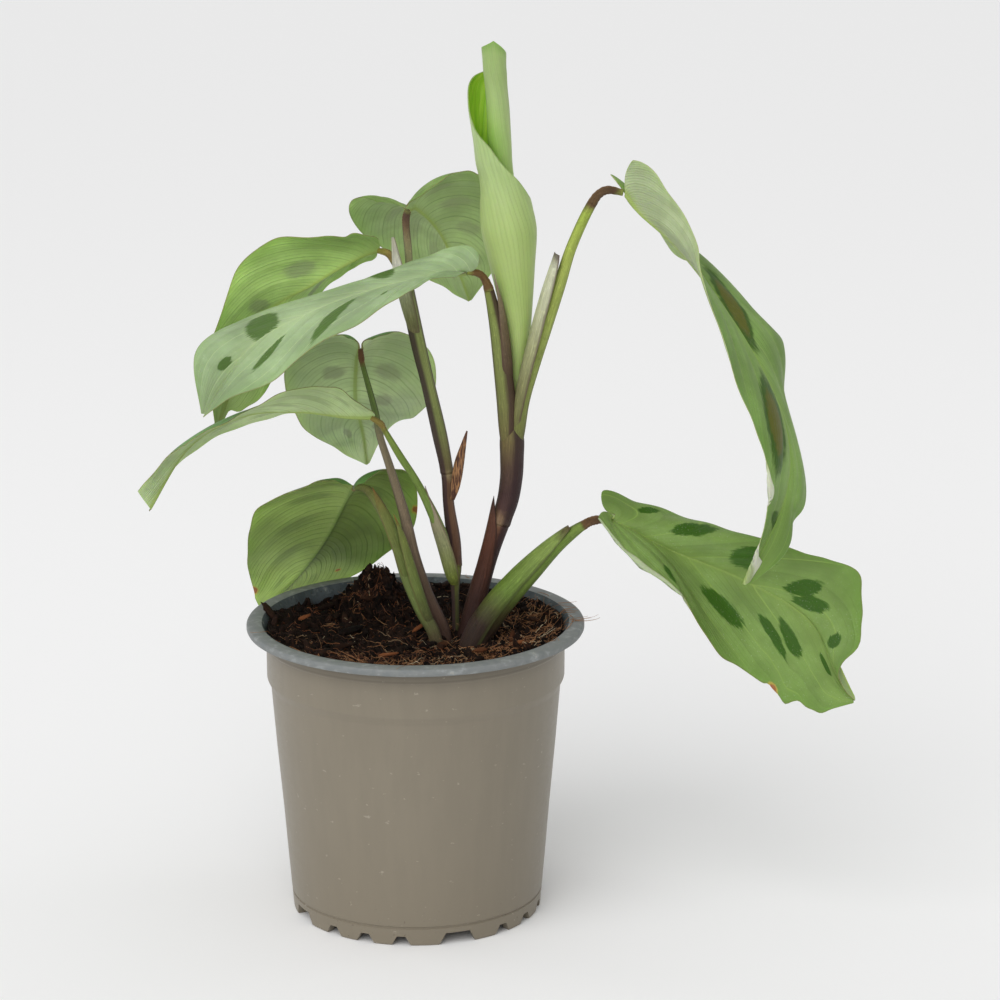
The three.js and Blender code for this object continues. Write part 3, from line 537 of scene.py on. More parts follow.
# Sheath ends: each wraps part of its stalk and ends in a free point. facing is the side that it is
# on (0 left, 90 the front, 180 right) and spread is how far it wraps, both in degrees. With more
# bluntness it narrows later, and end is the share of its width that the point keeps.
SCALE_ROWS = 44
SCALE_COLUMNS = 21
SCALES = [
    {
        "name": "sheath_tip_back", "facing": 40, "spread": 170, "edge": (100, 88, 64),
        "bluntness": 5, "end": 0.35,
        "points": [
            (1.7, 8.6, 202, 0.8), (0.3, 8, 211, 2.5), (-2, 8.2, 221, 3.1), (-4.6, 8, 232, 2.7),
            (-6.2, 7.8, 243, 1.5),
        ],
        "colours": [
            (0, (112, 106, 66)), (0.2, (112, 106, 68)), (0.34, (126, 128, 82)),
            (0.52, (160, 164, 126)), (0.75, (202, 202, 186)), (1, (180, 172, 156)),
        ],
    },
    {
        "name": "sheath_dry_front", "facing": 55, "spread": 170, "edge": (40, 24, 22),
        "points": [
            (17.8, 1.5, 88, 3), (18.7, 1.4, 98, 4.1), (22, 0.9, 113, 3.9), (25.6, 0.3, 127, 3.5),
            (28.4, -0.4, 140, 3.3), (29.2, -1.2, 152.5, 2.3),
        ],
        "colours": [
            (0, (38, 24, 22)), (0.4, (54, 32, 26)), (0.7, (84, 48, 34)), (0.88, (92, 58, 44)),
            (1, (52, 40, 40)),
        ],
    },
    {
        "name": "sheath_edge_front", "facing": 140, "spread": 120, "edge": (84, 62, 54),
        "points": [
            (31.2, -0.2, 182, 0.8), (31.4, -1.4, 194, 2.95), (30.4, -2.2, 208, 3),
            (28.8, -3.1, 221, 2.3), (27.2, -3.8, 232, 0.9),
        ],
        "colours": [
            (0, (84, 70, 50)), (0.3, (84, 66, 50)), (0.6, (110, 94, 70)), (0.85, (146, 130, 104)),
            (1, (180, 156, 138)),
        ],
    },
    {
        "name": "sheath_drooping", "facing": 29, "spread": 148, "edge": (84, 62, 58),
        "bluntness": 12, "end": 0.6,
        "points": [
            (36, -0.9, 172, 1.5), (36.8, -1.1, 181, 2.7), (39.8, -1.6, 195, 3.1),
            (43.2, -2.3, 209, 3.2), (47, -3.4, 224, 3), (51.2, -4.4, 239, 2.4),
        ],
        "colours": [
            (0, (106, 106, 62)), (0.2, (114, 114, 68)), (0.36, (132, 132, 90)),
            (0.55, (158, 160, 118)), (0.94, (204, 206, 178)), (1, (76, 58, 56)),
        ],
    },
    {
        "name": "sheath_tip_over_rim", "facing": 110, "spread": 120, "edge": (110, 92, 50),
        "points": [
            (-1.6, -4.4, 119, 1.6), (-4.8, -3.1, 129, 2.5), (-9.4, -0.4, 141, 2.5),
            (-12.8, 1.6, 148, 2.2), (-15.3, 3, 154, 1),
        ],
        "colours": [
            (0, (98, 112, 56)), (0.6, (114, 122, 60)), (0.9, (130, 114, 60)), (1, (150, 88, 48)),
        ],
    },
    {
        "name": "sheath_low_over_rim", "facing": 130, "spread": 110, "edge": (104, 100, 56),
        "points": [
            (6.2, -7, 104, 1.7), (2, -6, 113, 2.6), (-2, -4.7, 125, 2.8), (-5.6, -3, 137, 2.6),
            (-8.2, -1.8, 145.5, 1.3),
        ],
        "colours": [
            (0, (70, 62, 42)), (0.4, (106, 120, 60)), (0.85, (124, 132, 68)), (1, (156, 104, 56)),
        ],
    },
    {
        "name": "sheath_right_low", "facing": 40, "spread": 130, "edge": (70, 76, 40),
        "bluntness": 6, "end": 0.35,
        "points": [
            (17.2, -8.5, 92, 4.1), (26, -8.7, 109, 5.3), (35.7, -9.2, 121.8, 4.9),
            (46, -9.8, 133, 3.9), (55.4, -10.2, 142.4, 2.3),
        ],
        "colours": [
            (0, (48, 34, 30)), (0.22, (54, 40, 32)), (0.33, (78, 82, 40)), (0.45, (98, 122, 46)),
            (0.88, (128, 148, 74)), (1, (88, 68, 50)),
        ],
    },
    {
        "name": "sheath_left_low", "facing": 60, "spread": 160, "edge": (112, 96, 76),
        "points": [
            (14, 5, 118.5, 1.7), (13.2, 4, 122.5, 2.7), (11.2, 2.2, 132, 3.1), (7.8, 0.8, 144, 2.8),
            (4.2, -0.6, 156, 1.1),
        ],
        "colours": [
            (0, (120, 128, 56)), (0.25, (124, 136, 66)), (0.6, (146, 148, 108)),
            (0.85, (158, 142, 124)), (1, (140, 118, 104)),
        ],
    },
]

# The dry bract: points with their radius.
BRACT_ROWS = 34
BRACT_SIDES = 24
BRACT = [
    (13.2, 3.2, 149.5, 0.7), (14.6, 3, 155.5, 1.6), (15.5, 2.8, 162, 1.65), (16.9, 2.5, 168.8, 1),
    (18.4, 2.5, 174.6, 0.25),
]

# The pot's outline, outside from the foot to the rim and back down inside, as radius and height.
POT_OUTLINE = [
    (0, 4.8), (41.6, 4.8), (41.6, 0.3), (41.9, 0), (44.1, 0), (44.6, 0.5), (45.1, 6.2), (44.7, 6.5),
    (44.7, 6.9), (45.2, 7.3), (46.4, 21.5), (47.7, 38), (49.7, 60), (51.55, 83), (51.75, 84),
    (52.8, 86.1), (53, 86.9), (53.05, 98.3), (53.1, 98.6), (53.35, 98.9), (53.4, 99.4),
    (53.4, 103), (53.8, 103.5), (59, 103.5), (59.7, 103.8), (60, 104.4), (60, 105.5), (59.7, 106.1),
    (59, 106.5), (55.3, 106.5), (54.6, 106.3), (54.2, 105.7), (52.2, 102.6), (52, 101.5),
    (51.9, 86.8), (50.6, 83.4), (44.3, 6.6), (43.6, 6), (0, 6),
]
# The row of the outline from which the pot shows its inside.
LIP_TOP = 30
# The angle in degrees from which an edge of the pot stays sharp.
SHARP_EDGE = 32

# The foot ring and what is cut from it: width below and above, height and place round the pot.
FOOT_RADIUS = 44.6
FOOT_INNER_RADIUS = 41.6
CUTTER_REACH = 3
DRAIN_GAP = (13.5, 9, 4.4)
DRAIN_GAP_TURN = 20
DRAIN_GAP_STEP = 92
NOTCH = (7, 3, 3.5)
NOTCH_TURNS = (24, 41, 58)

# The drain holes in the floor: their count, their ring's radius, their own one, and the cut's
# height.
DRAIN_HOLES = 8
DRAIN_HOLE_RING = 31
DRAIN_HOLE_RADIUS = 3.5
DRAIN_HOLE_SIDES = 28
DRAIN_HOLE_SPAN = (3.6, 7.2)

# The soil: level, radius and its rise at the wall; a clump and a hollow, each as place, rise and
# half widths; and the stalks and shoots that stand in it, as place and radius.
SOIL_LEVEL = 99.5
SOIL_RADIUS = 52.6
SOIL_EDGE_RISE = 5.4
SOIL_EDGE = 53
# Where the lumps of the surface start to get lower towards the wall, and over what width.
CALM_START = 46
CALM_WIDTH = 6
CLUMP = (-16, 35, 14.5, 8.5, 8)
HOLLOW = (-32, 36, -3.4, 14, 11)
SOIL_STEMS = ((18.5, 1.5, 4), (18.6, -8.5, 5.6), (14.3, 5, 2), (11, -0.5, 3), (8, -7.6, 3))
SOIL_UNDERSIDE = (
    (51.6, 101.2), (51.4, 98), (51.4, 87.5), (50, 83.2), (43.8, 7), (20, 6.4), (0.5, 6.4),
)
BED_RINGS = 64
BED_SIDES = 220

# Crumbs: one in CLUMP_CRUMB_STEP falls on the clump, spread over it, and the others anywhere on the
# soil. Also their sizes, the rate at which large ones get rarer, and the size from which they get
# more detail.
CLUMP_CRUMB_STEP = 4
CLUMP_SPREAD = (7, 5.5)
CRUMB_AREA = 52
CRUMB_REACH = 51.9
CRUMB_SIZES = (0.35, 2.0)
CRUMB_RATE = 2.9
LARGE_CRUMB = 0.9

# Where fibres start: one in RIM_FIBRE_STEP crosses the rim, one in STRAW_STEP is straw, and of each
# BED_FIBRE_STEP of the rest one lies on the clump and two lie at the front.
RIM_FIBRE_STEP = 75
RIM_FIBRE_RADII = (50, 57)
STRAW_STEP = 11
STRAW_RADII = (46.5, 51.5)
STRAW_TURN = -1.82
STRAW_SPREAD = 0.13
BED_FIBRE_STEP = 5
CLUMP_FIBRE_AREA = 9
FRONT_FIBRE_AREA = 52
FRONT_TURNS = (-2.4, 0.9)
BED_FIBRE_AREA = 50

# Fibres: how far out they may start and go, their lengths and radii, also of the large ones, how
# they rise and bend, how light straw is, and their rings and sides. RIM_RISE is how the ground
# under a fibre rises over the rim: from which height and radius, by how much and over what width.
FIBRE_REACH = 51.8
FIBRE_EDGE = 52.4
FIBRE_LENGTHS, LARGE_FIBRE_LENGTHS = (2, 12), (5, 12)
FIBRE_RADII, LARGE_FIBRE_RADII = (0.05, 0.14), (0.09, 0.16)
FIBRE_RISES = (0, 0, 0, 0.25, 0.7)
FIBRE_BEND = 0.18
FIBRE_WOBBLE = 0.16
STRAW_SHADE = 0.86
FIBRE_RINGS = 10
FIBRE_SIDES = 3
RIM_RISE = (103, 50.5, 3.6, 3.7)

# Chips of bark and root: both ends, width, thickness, lightness and warmth.
CHIPS = [
    ((-50, 5, 104.6), (-55.4, 14.2, 108.4), 2.6, 1.8, 0.5, 0.15),
    ((-27, -3, 102), (-19, 4, 102.4), 4.5, 2.6, 0.2, 0),
    ((-42, 6, 104.4), (-38, 9, 105.4), 2, 1.4, 1, 0.9),
    ((34.4, -25.4, 104.6), (38, -23, 105.2), 2, 1.6, 1, 1),
    ((-1, 0, 102), (4, 6, 103.5), 1.8, 1.2, 1, 1),
    ((-28, -26, 103.6), (-21, -21, 103.8), 3, 1.6, 0.3, 0.2),
    ((20, -33, 104.6), (26, -31, 105), 2.6, 1.6, 0.9, 0.5),
    ((-12, -38, 104.8), (-5, -37, 105.2), 2.2, 1.4, 1, 0.8),
    ((40, 6, 105), (44, 1, 105.6), 2.4, 1.6, 0.4, 0.4),
    ((-36, 24, 103), (-30, 29, 103.4), 3, 2, 0.3, 0.1),
    ((30, 14, 103.4), (34, 20, 104), 3, 2, 0.35, 0.1),
    ((2, -20, 102.4), (7, -17, 102.8), 3.4, 2.2, 0.35, 0),
]


def paint(red, green, blue):
    """A colour's linear values from its 0 to 255 screen values."""
    shares = [value / 255 for value in (red, green, blue)]
    return tuple(
        share / 12.92 if share <= 0.04045 else ((share + 0.055) / 1.055) ** 2.4 for share in shares
    )


def scaled(colour, *factors):
    """A colour times one factor, or times one for each of its three values."""
    factors = factors * 3 if len(factors) == 1 else factors
    return tuple(min(1, value * factor) for value, factor in zip(colour, factors))


class PotSettings(bpy.types.PropertyGroup):
    """What can be changed on the pot."""

    wall: FloatVectorProperty(
        name="Wall", description="Colour of the pot's plastic", subtype="COLOR", min=0, max=1,
        default=paint(126, 118, 103),
    )
    rim: FloatVectorProperty(
        name="Rim", description="Colour of the thin plastic at the rim", subtype="COLOR", min=0,
        max=1, default=paint(121, 124, 123),
    )
    roughness: FloatProperty(
        name="Roughness", description="How dull the plastic is", subtype="FACTOR", min=0, max=1,
        default=0.32,
    )
    sides: IntProperty(
        name="Sides", description="Facets round the pot", min=24, max=400, default=200,
    )


class SoilSettings(bpy.types.PropertyGroup):
    """What can be changed on the soil."""

    peat: FloatVectorProperty(
        name="Peat", description="Colour of the soil", subtype="COLOR", min=0, max=1,
        default=paint(38, 25, 19),
    )
    coir: FloatVectorProperty(
        name="Coir", description="Colour of the fibres in the soil", subtype="COLOR", min=0, max=1,
        default=paint(142, 86, 52),
    )
    crumbs: IntProperty(
        name="Crumbs", description="Number of soil crumbs", min=0, max=6000, default=3200,
    )
    fibres: IntProperty(
        name="Fibres", description="Number of coir fibres", min=0, max=4000, default=2300,
    )
    seed: IntProperty(name="Seed", description="Chooses another scatter", min=0, default=7)


class LeafSettings(bpy.types.PropertyGroup):
    """What can be changed on the leaves."""

    thickness: FloatProperty(
        name="Thickness", description="Thickness of a blade", subtype="DISTANCE", unit="LENGTH",
        min=0.0002, max=0.001, default=0.0004,
    )
    quilting: FloatProperty(
        name="Quilting", description="Height of the pillows between the side veins",
        subtype="DISTANCE", unit="LENGTH", min=0, max=0.0015, default=0.0008,
    )
    side_veins: IntProperty(
        name="Side veins", description="Main side veins on each side", min=3, max=14, default=7,
    )
    fine_veins: IntProperty(
        name="Fine veins", description="Fine veins on each side", min=10, max=90, default=48,
    )
    young: FloatVectorProperty(
        name="Young leaf", description="Colour of the rolled young leaf", subtype="COLOR", min=0,
        max=1, default=paint(166, 186, 126),
    )


class StageSettings(bpy.types.PropertyGroup):
    """What can be changed in the studio."""

    floor: FloatVectorProperty(
        name="Floor", description="Colour of the floor", subtype="COLOR", min=0, max=1,
        default=(0.93, 0.93, 0.93),
    )
    key: FloatProperty(
        name="Key light", description="Strength of the broad light from above on the left", min=0,
        default=1.45,
    )
    front_power: FloatProperty(
        name="Front light", description="Power of the softbox beside the camera",
        subtype="POWER", unit="POWER", min=0, default=4,
    )
    side_power: FloatProperty(
        name="Side lights", description="Power of each strip at the sides", subtype="POWER",
        unit="POWER", min=0, default=0.7,
    )
    sky: FloatProperty(
        name="Surroundings", description="Strength of the white surroundings", min=0, default=0.58,
    )


class Wire:
    """A shader socket that takes arithmetic: each operation adds its Math node."""

    def __init__(self, finish, socket):
        self.finish = finish
        self.socket = socket

    def math(self, operation, first, second=0.0):
        return self.finish.node("ShaderNodeMath", {"operation": operation}, {0: first, 1: second})

    def __add__(self, other):
        return self.math("ADD", self, other)

    __radd__ = __add__

    def __sub__(self, other):
        return self.math("SUBTRACT", self, other)

    def __rsub__(self, other):
        return self.math("SUBTRACT", other, self)

    def __mul__(self, other):
        return self.math("MULTIPLY", self, other)

    __rmul__ = __mul__

    def __truediv__(self, other):
        return self.math("DIVIDE", self, other)

    def __abs__(self):
        return self.math("ABSOLUTE", self)

    def fract(self):
        """What is left over the last whole number."""
        return self.math("FRACT", self)

    def step(self, low, high):
        """Rises smoothly from 0 at low to 1 at high."""
        return self.finish.node(
            "ShaderNodeMapRange", {"interpolation_type": "SMOOTHSTEP"}, {0: self, 1: low, 2: high}
        )


class Finish:
    """A node material while it is made."""

    def __init__(self, name):
        self.material = bpy.data.materials.new(name)
        self.material.use_nodes = True
        self.tree = self.material.node_tree
        self.tree.nodes.clear()

    def node(self, kind, settings=None, sockets=None, output=0):
        """Adds a node: its settings first, then the values or links of its sockets."""
        made = self.tree.nodes.new(kind)
        for name, value in (settings or {}).items():
            if name == "stops":
                self.set_stops(made.color_ramp, value)
            else:
                setattr(made, name, value)
        for name, value in (sockets or {}).items():
            if isinstance(value, Wire):
                self.tree.links.new(value.socket, made.inputs[name])
            else:
                made.inputs[name].default_value = value
        return Wire(self, made.outputs[output]) if len(made.outputs) else None

    @staticmethod
    def set_stops(ramp, stops):
        """Places a ramp's colours."""
        while len(ramp.elements) < len(stops):
            ramp.elements.new(1.0)
        for element, (place, colour) in zip(ramp.elements, stops):
            element.position = place
            element.color = (*colour, 1)

    def mix(self, share, first, second):
        """Two colours mixed by a share."""
        first, second = (c if isinstance(c, Wire) else (*c[:3], 1) for c in (first, second))
        return self.node(
            "ShaderNodeMix", {"data_type": "RGBA"}, {0: share, 6: first, 7: second}, output=2
        )

    def shade(self, colour, amount):
        """A colour made lighter or darker by a factor."""
        colour = colour if isinstance(colour, Wire) else (*colour[:3], 1)
        return self.node(
            "ShaderNodeMix", {"data_type": "RGBA", "blend_type": "MULTIPLY"},
            {0: 1.0, 6: colour, 7: self.grey(amount)}, output=2,
        )

    def layer(self, colour, layers):
        """A colour with others laid over it in turn, each by its share."""
        for share, tint in layers:
            colour = self.mix(share, colour, tint)
        return colour

    def grey(self, value):
        """A grey as light as a value."""
        return self.node("ShaderNodeCombineColor", sockets={0: value, 1: value, 2: value})

    def ramp(self, value, stops):
        """The colour that belongs to a value, between the stops of a ramp."""
        return self.node("ShaderNodeValToRGB", {"stops": stops}, {0: value})

    def spot(self):
        """The place on the object, in metres."""
        return self.node("ShaderNodeTexCoord", output="Object")

    def split(self, vector):
        """The three numbers of a vector."""
        parts = self.node("ShaderNodeSeparateXYZ", sockets={0: vector})
        return [Wire(self, socket) for socket in parts.socket.node.outputs]

    def drawn(self, name):
        """The three numbers that the mesh carries under a name."""
        found = self.node("ShaderNodeAttribute", {"attribute_name": name}, output="Vector")
        return self.split(found)

    def cloud(self, scale, detail=3.0, stretch=None, rough=0.55):
        """Soft mottling through the object, scale lumps to the metre."""
        place = self.spot()
        if stretch:
            place = self.node(
                "ShaderNodeVectorMath", {"operation": "MULTIPLY"}, {0: place, 1: stretch}
            )
        return self.noise(place, detail, scale, rough)

    def vector(self, x, y, z):
        """A vector from three numbers."""
        return self.node("ShaderNodeCombineXYZ", sockets={0: x, 1: y, 2: z})

    def noise(self, place, detail, scale=1.0, rough=0.6):
        """Mottling that follows a place's own numbers."""
        return self.node(
            "ShaderNodeTexNoise",
            sockets={"Vector": place, "Scale": scale, "Detail": detail, "Roughness": rough},
        )

    def lines(self, value, count, start, full):
        """Repeated thin lines, count of them to each whole step of the value."""
        return (abs((value * float(count)).fract() - 0.5) * 2).step(start, full)

    def bump(self, height, distance, strength=1.0):
        """A normal that shows a height."""
        return self.node(
            "ShaderNodeBump", sockets={"Height": height, "Distance": distance, "Strength": strength}
        )

    def surface(self, **sockets):
        """Ends the material in one Principled surface."""
        values = {
            name.replace("_", " ").title().replace("Ior", "IOR"): value
            for name, value in sockets.items()
        }
        bsdf = self.node("ShaderNodeBsdfPrincipled", sockets=values)
        self.node("ShaderNodeOutputMaterial", sockets={"Surface": bsdf})
        return self.material


def curve_points(points, shares):
    """Places on the smooth curve through some points, at shares of its count of spans."""
    knots = np.asarray(points, float)
    knots = np.vstack([2 * knots[0] - knots[1], knots, 2 * knots[-1] - knots[-2]])
    spans = len(knots) - 3
    place = np.clip(np.asarray(shares, float), 0, 1) * spans
    first = np.minimum(place.astype(int), spans - 1)
    part = (place - first)[:, None]
    before, start, end, after = (knots[first + k] for k in range(4))
    return 0.5 * (
        2 * start
        + (end - before) * part
        + (2 * before - 5 * start + 4 * end - after) * part**2
        + (3 * start - before - 3 * end + after) * part**3
    )


def unit(vectors):
    """The same directions with length 1."""
    return vectors / np.maximum(np.linalg.norm(vectors, axis=-1, keepdims=True), 1e-9)


def hump(values, centre, wide):
    """A smooth hump that is 1 at its centre."""
    return np.exp(-(((values - centre) / wide) ** 2))


def grid_normals(grid, passes=3):
    """The directions that a grid of points faces, evened out with their neighbours'."""
    normals = unit(np.cross(np.gradient(grid, axis=1), np.gradient(grid, axis=0)))
    for _ in range(passes):
        wide = np.pad(normals, ((1, 1), (1, 1), (0, 0)), mode="edge")
        normals = unit(
            wide[1:-1, 1:-1] + wide[:-2, 1:-1] + wide[2:, 1:-1] + wide[1:-1, :-2] + wide[1:-1, 2:]
        )
    return normals


def add_object(name, data):
    """A new object in the scene."""
    made = bpy.data.objects.new(name, data)
    bpy.context.scene.collection.objects.link(made)
    return made


def shade_smooth(mesh):
    """Shows a mesh without facets."""
    mesh.polygons.foreach_set("use_smooth", [True] * len(mesh.polygons))


def new_piece(name, points, faces, materials, choice=None, drawn=None):
    """A mesh object from points in millimetres about the pot's axis."""
    mesh = bpy.data.meshes.new(name)
    corners = ((np.asarray(points) + POT_AXIS) * MM).tolist()
    mesh.from_pydata(corners, [], [list(map(int, face)) for face in faces])
    for material in materials:
        mesh.materials.append(material)
    if choice is not None:
        mesh.polygons.foreach_set("material_index", np.asarray(choice, np.int32))
    for key, values in (drawn or {}).items():
        attribute = mesh.attributes.new(key, "FLOAT_VECTOR", "POINT")
        attribute.data.foreach_set("vector", np.asarray(values, np.float32).ravel())
    shade_smooth(mesh)
    mesh.update()
    return add_object(name, mesh)


def triples(*parts):
    """Three numbers for each point of a grid, from parts that vary by row, by column or both."""
    return np.stack(np.broadcast_arrays(*parts), -1).reshape(-1, 3)


def dress(piece, slot, *nodes):
    """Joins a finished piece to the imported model."""
    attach(piece, "root")
    if nodes:
        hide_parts(*nodes)
    return piece


def sheet_piece(name, upper, lower, drawn, materials):
    """A thin closed body between an upper and a lower grid of points."""
    rows, columns = upper.shape[:2]
    count = rows * columns
    index = np.arange(count).reshape(rows, columns)
    quads = [index[:-1, :-1], index[:-1, 1:], index[1:, 1:], index[1:, :-1]]
    quads = np.stack(quads, -1).reshape(-1, 4)
    border = np.concatenate([index[0, :-1], index[:-1, -1], index[-1, :0:-1], index[:0:-1, 0]])
    edge = np.arange(len(border)) + 2 * count
    below = edge + len(border)
    rim = np.stack([below, np.roll(below, -1), np.roll(edge, -1), edge], -1)
    flat_upper, flat_lower = upper.reshape(-1, 3), lower.reshape(-1, 3)
    points = np.vstack([flat_upper, flat_lower, flat_upper[border], flat_lower[border]])
    faces = np.vstack([quads, quads[:, ::-1] + count, rim])
    choice = np.repeat([0, 1, 2], [len(quads), len(quads), len(rim)])
    order = np.concatenate([np.arange(count), np.arange(count), border, border])
    values = {key: grid[order] for key, grid in drawn.items()}
    return new_piece(name, points, faces, materials, choice, values)


def spots_field(spots, across, along):
    """How deep each point of a blade lies in a spot: 1 in its middle, under 0 outside."""
    field = np.full(across.shape, -1.0)
    for side, centre, out, reach, wide, lean in spots:
        outwards = (np.abs(across) - out) / reach
        forwards = (along - centre - lean * (np.abs(across) - out)) / wide
        depth = 1 - np.sqrt(outwards**2 + forwards**2)
        field = np.where(across * side > 0, np.maximum(field, depth), field)
    return field


def half_blade(span, upward, out, hem, arch):
    """Places across one half of a blade: arched, with a hem turned over at the margin."""
    width = np.linalg.norm(span, axis=1)[:, None]
    away = out * (width + hem[:, None])
    flat = np.minimum(away / width, 1)
    extra = np.maximum(away - width, 0)
    bend = np.minimum(extra / HEM_RADIUS, HEM_TURN)
    back = np.maximum(extra - HEM_TURN * HEM_RADIUS, 0)
    sideways = HEM_RADIUS * np.sin(bend) + back * np.cos(HEM_TURN)
    rise = arch[:, None] * 4 * flat * (1 - flat)
    rise = rise + HEM_RADIUS * (1 - np.cos(bend)) + back * np.sin(HEM_TURN)
    return (
        span[:, None] * flat[..., None] + unit(span)[:, None] * sideways[..., None]
        + upward[:, None] * rise[..., None]
    )


def margin_span(leaf, side, rib, along):
    """From the midrib to one margin, row by row, with that margin's nicks and moves."""
    midrib, margin = leaf["midrib"], leaf["left" if side < 0 else "right"]
    far_end = leaf.get("ends", {}).get(side, midrib[-1])
    span = curve_points([midrib[0], *margin, far_end], along) - rib
    for at, centre, wide, depth in leaf.get("nicks", []):
        if at == side:
            span = span * (1 + depth * hump(along, centre, wide))[:, None]
    for at, centre, wide, shift in leaf.get("moves", []):
        if at == side:
            span = span + hump(along, centre, wide)[:, None] * np.array(shift)
    return span


def blade_grid(leaf, along, share, out):
    """The middle surface of a blade before it is quilted."""
    beyond = (along - BLADE_START) / (1 - BLADE_START)
    stations = beyond * (0.5 + 0.5 * beyond)
    midrib = leaf["midrib"]
    rib = curve_points(midrib, stations)
    shift = np.array(leaf.get("base_shift", (0, 0, 0)))
    rib = rib + np.exp(-share / BASE_SHIFT_FADE)[:, None] * shift
    forward = unit(curve_points(midrib, stations + 0.002) - curve_points(midrib, stations - 0.002))
    hem_side, hem = leaf.get("hem", (0, [(0, 0)]))
    arch = leaf["arch"] * np.sin(np.pi * along)
    halves = []
    for side in (-1, 1):
        span = margin_span(leaf, side, rib, along)
        upward = unit(np.cross(span, forward)) * side
        turned = np.interp(along, *np.transpose(hem)) if hem_side == side else np.zeros(len(along))
        halves.append(rib[:, None] + half_blade(span, upward, out, turned, arch))
    return np.concatenate([halves[0][:, :0:-1], halves[1]], axis=1)


def blade_piece(leaf, settings):
    """One leaf blade, quilted between its side veins, with a ridge under the midrib."""
    share = np.linspace(0, 1, BLADE_ROWS)
    along = BLADE_START + (BLADE_END - BLADE_START) * share
    out = np.linspace(0, 1, BLADE_COLUMNS + 1) ** COLUMN_SPREAD
    grid = blade_grid(leaf, along, share, out)
    across = np.concatenate([-out[:0:-1], out])[None, :] * np.ones((BLADE_ROWS, 1))
    reach = np.abs(across)
    place = along[:, None] * np.ones_like(across)
    leans = leaf.get("lean", USUAL_LEAN)
    left_lean, right_lean = (leans[side][0] + leans[side][1] * place for side in (-1, 1))
    vein = place - np.where(across < 0, left_lean, right_lean) * reach**1.25
    backward = unit(grid[:1] - grid[4:5])
    near_joint = np.clip(1 - share / LOBE_LENGTH, 0, 1)[:, None] ** 2
    bulge = leaf.get("lobe", USUAL_LOBE) * np.sin(np.pi * reach) ** 0.8 * near_joint
    grid = grid + backward * bulge[..., None]
    normals = grid_normals(grid)
    pillow = np.abs(np.sin(np.pi * settings.side_veins * vein / VEINED_LENGTH)) ** 0.6 - 0.65
    fade = np.sin(np.pi * np.clip(reach, 0, 1)) ** 0.6 * np.sin(np.pi * share)[:, None] ** 0.5
    slow = np.sin(2 * np.pi * (4.3 * place + 0.21 * across))
    quick = np.sin(2 * np.pi * (9.1 * place - 0.3 * across))
    ripple = leaf["ripple"] * 0.55 * (slow + 0.6 * quick) * reach**4
    lift = settings.quilting / MM * pillow * fade + ripple
    grid = grid + normals * lift[..., None]
    width = np.linalg.norm(grid[:, -1] - grid[:, 0], axis=1)[:, None] / 2
    from_rib = reach * np.maximum(width, 1)
    taper = np.clip(1.1 - place, 0, 1)
    ridge, groove = (
        height * taper * hump(from_rib, 0, wide) for height, wide in (MIDRIB_RIDGE, MIDRIB_GROOVE)
    )
    thick = settings.thickness / MM * (1 - 0.5 * reach**6)
    upper = grid + normals * (thick / 2 - groove)[..., None]
    lower = grid - normals * (thick / 2 + ridge)[..., None]
    stains, scorch = (
        spots_field(leaf.get(key, []), across, place) for key in ("blotches", "scorch")
    )
    drawn = {
        "blade": triples(across, place, vein),
        "spots": triples(stains, scorch, from_rib),
    }
    materials = [
        BladeFinish(leaf, settings, face).finished() for face in ("upper", "under", "rim")
    ]
    piece = sheet_piece(leaf["name"] + "_blade", upper, lower, drawn, materials)
    slot = "leaf_upper" if leaf["name"] in FRONT_SIDES else "leaf_underside"
    return dress(piece, slot, leaf["name"])


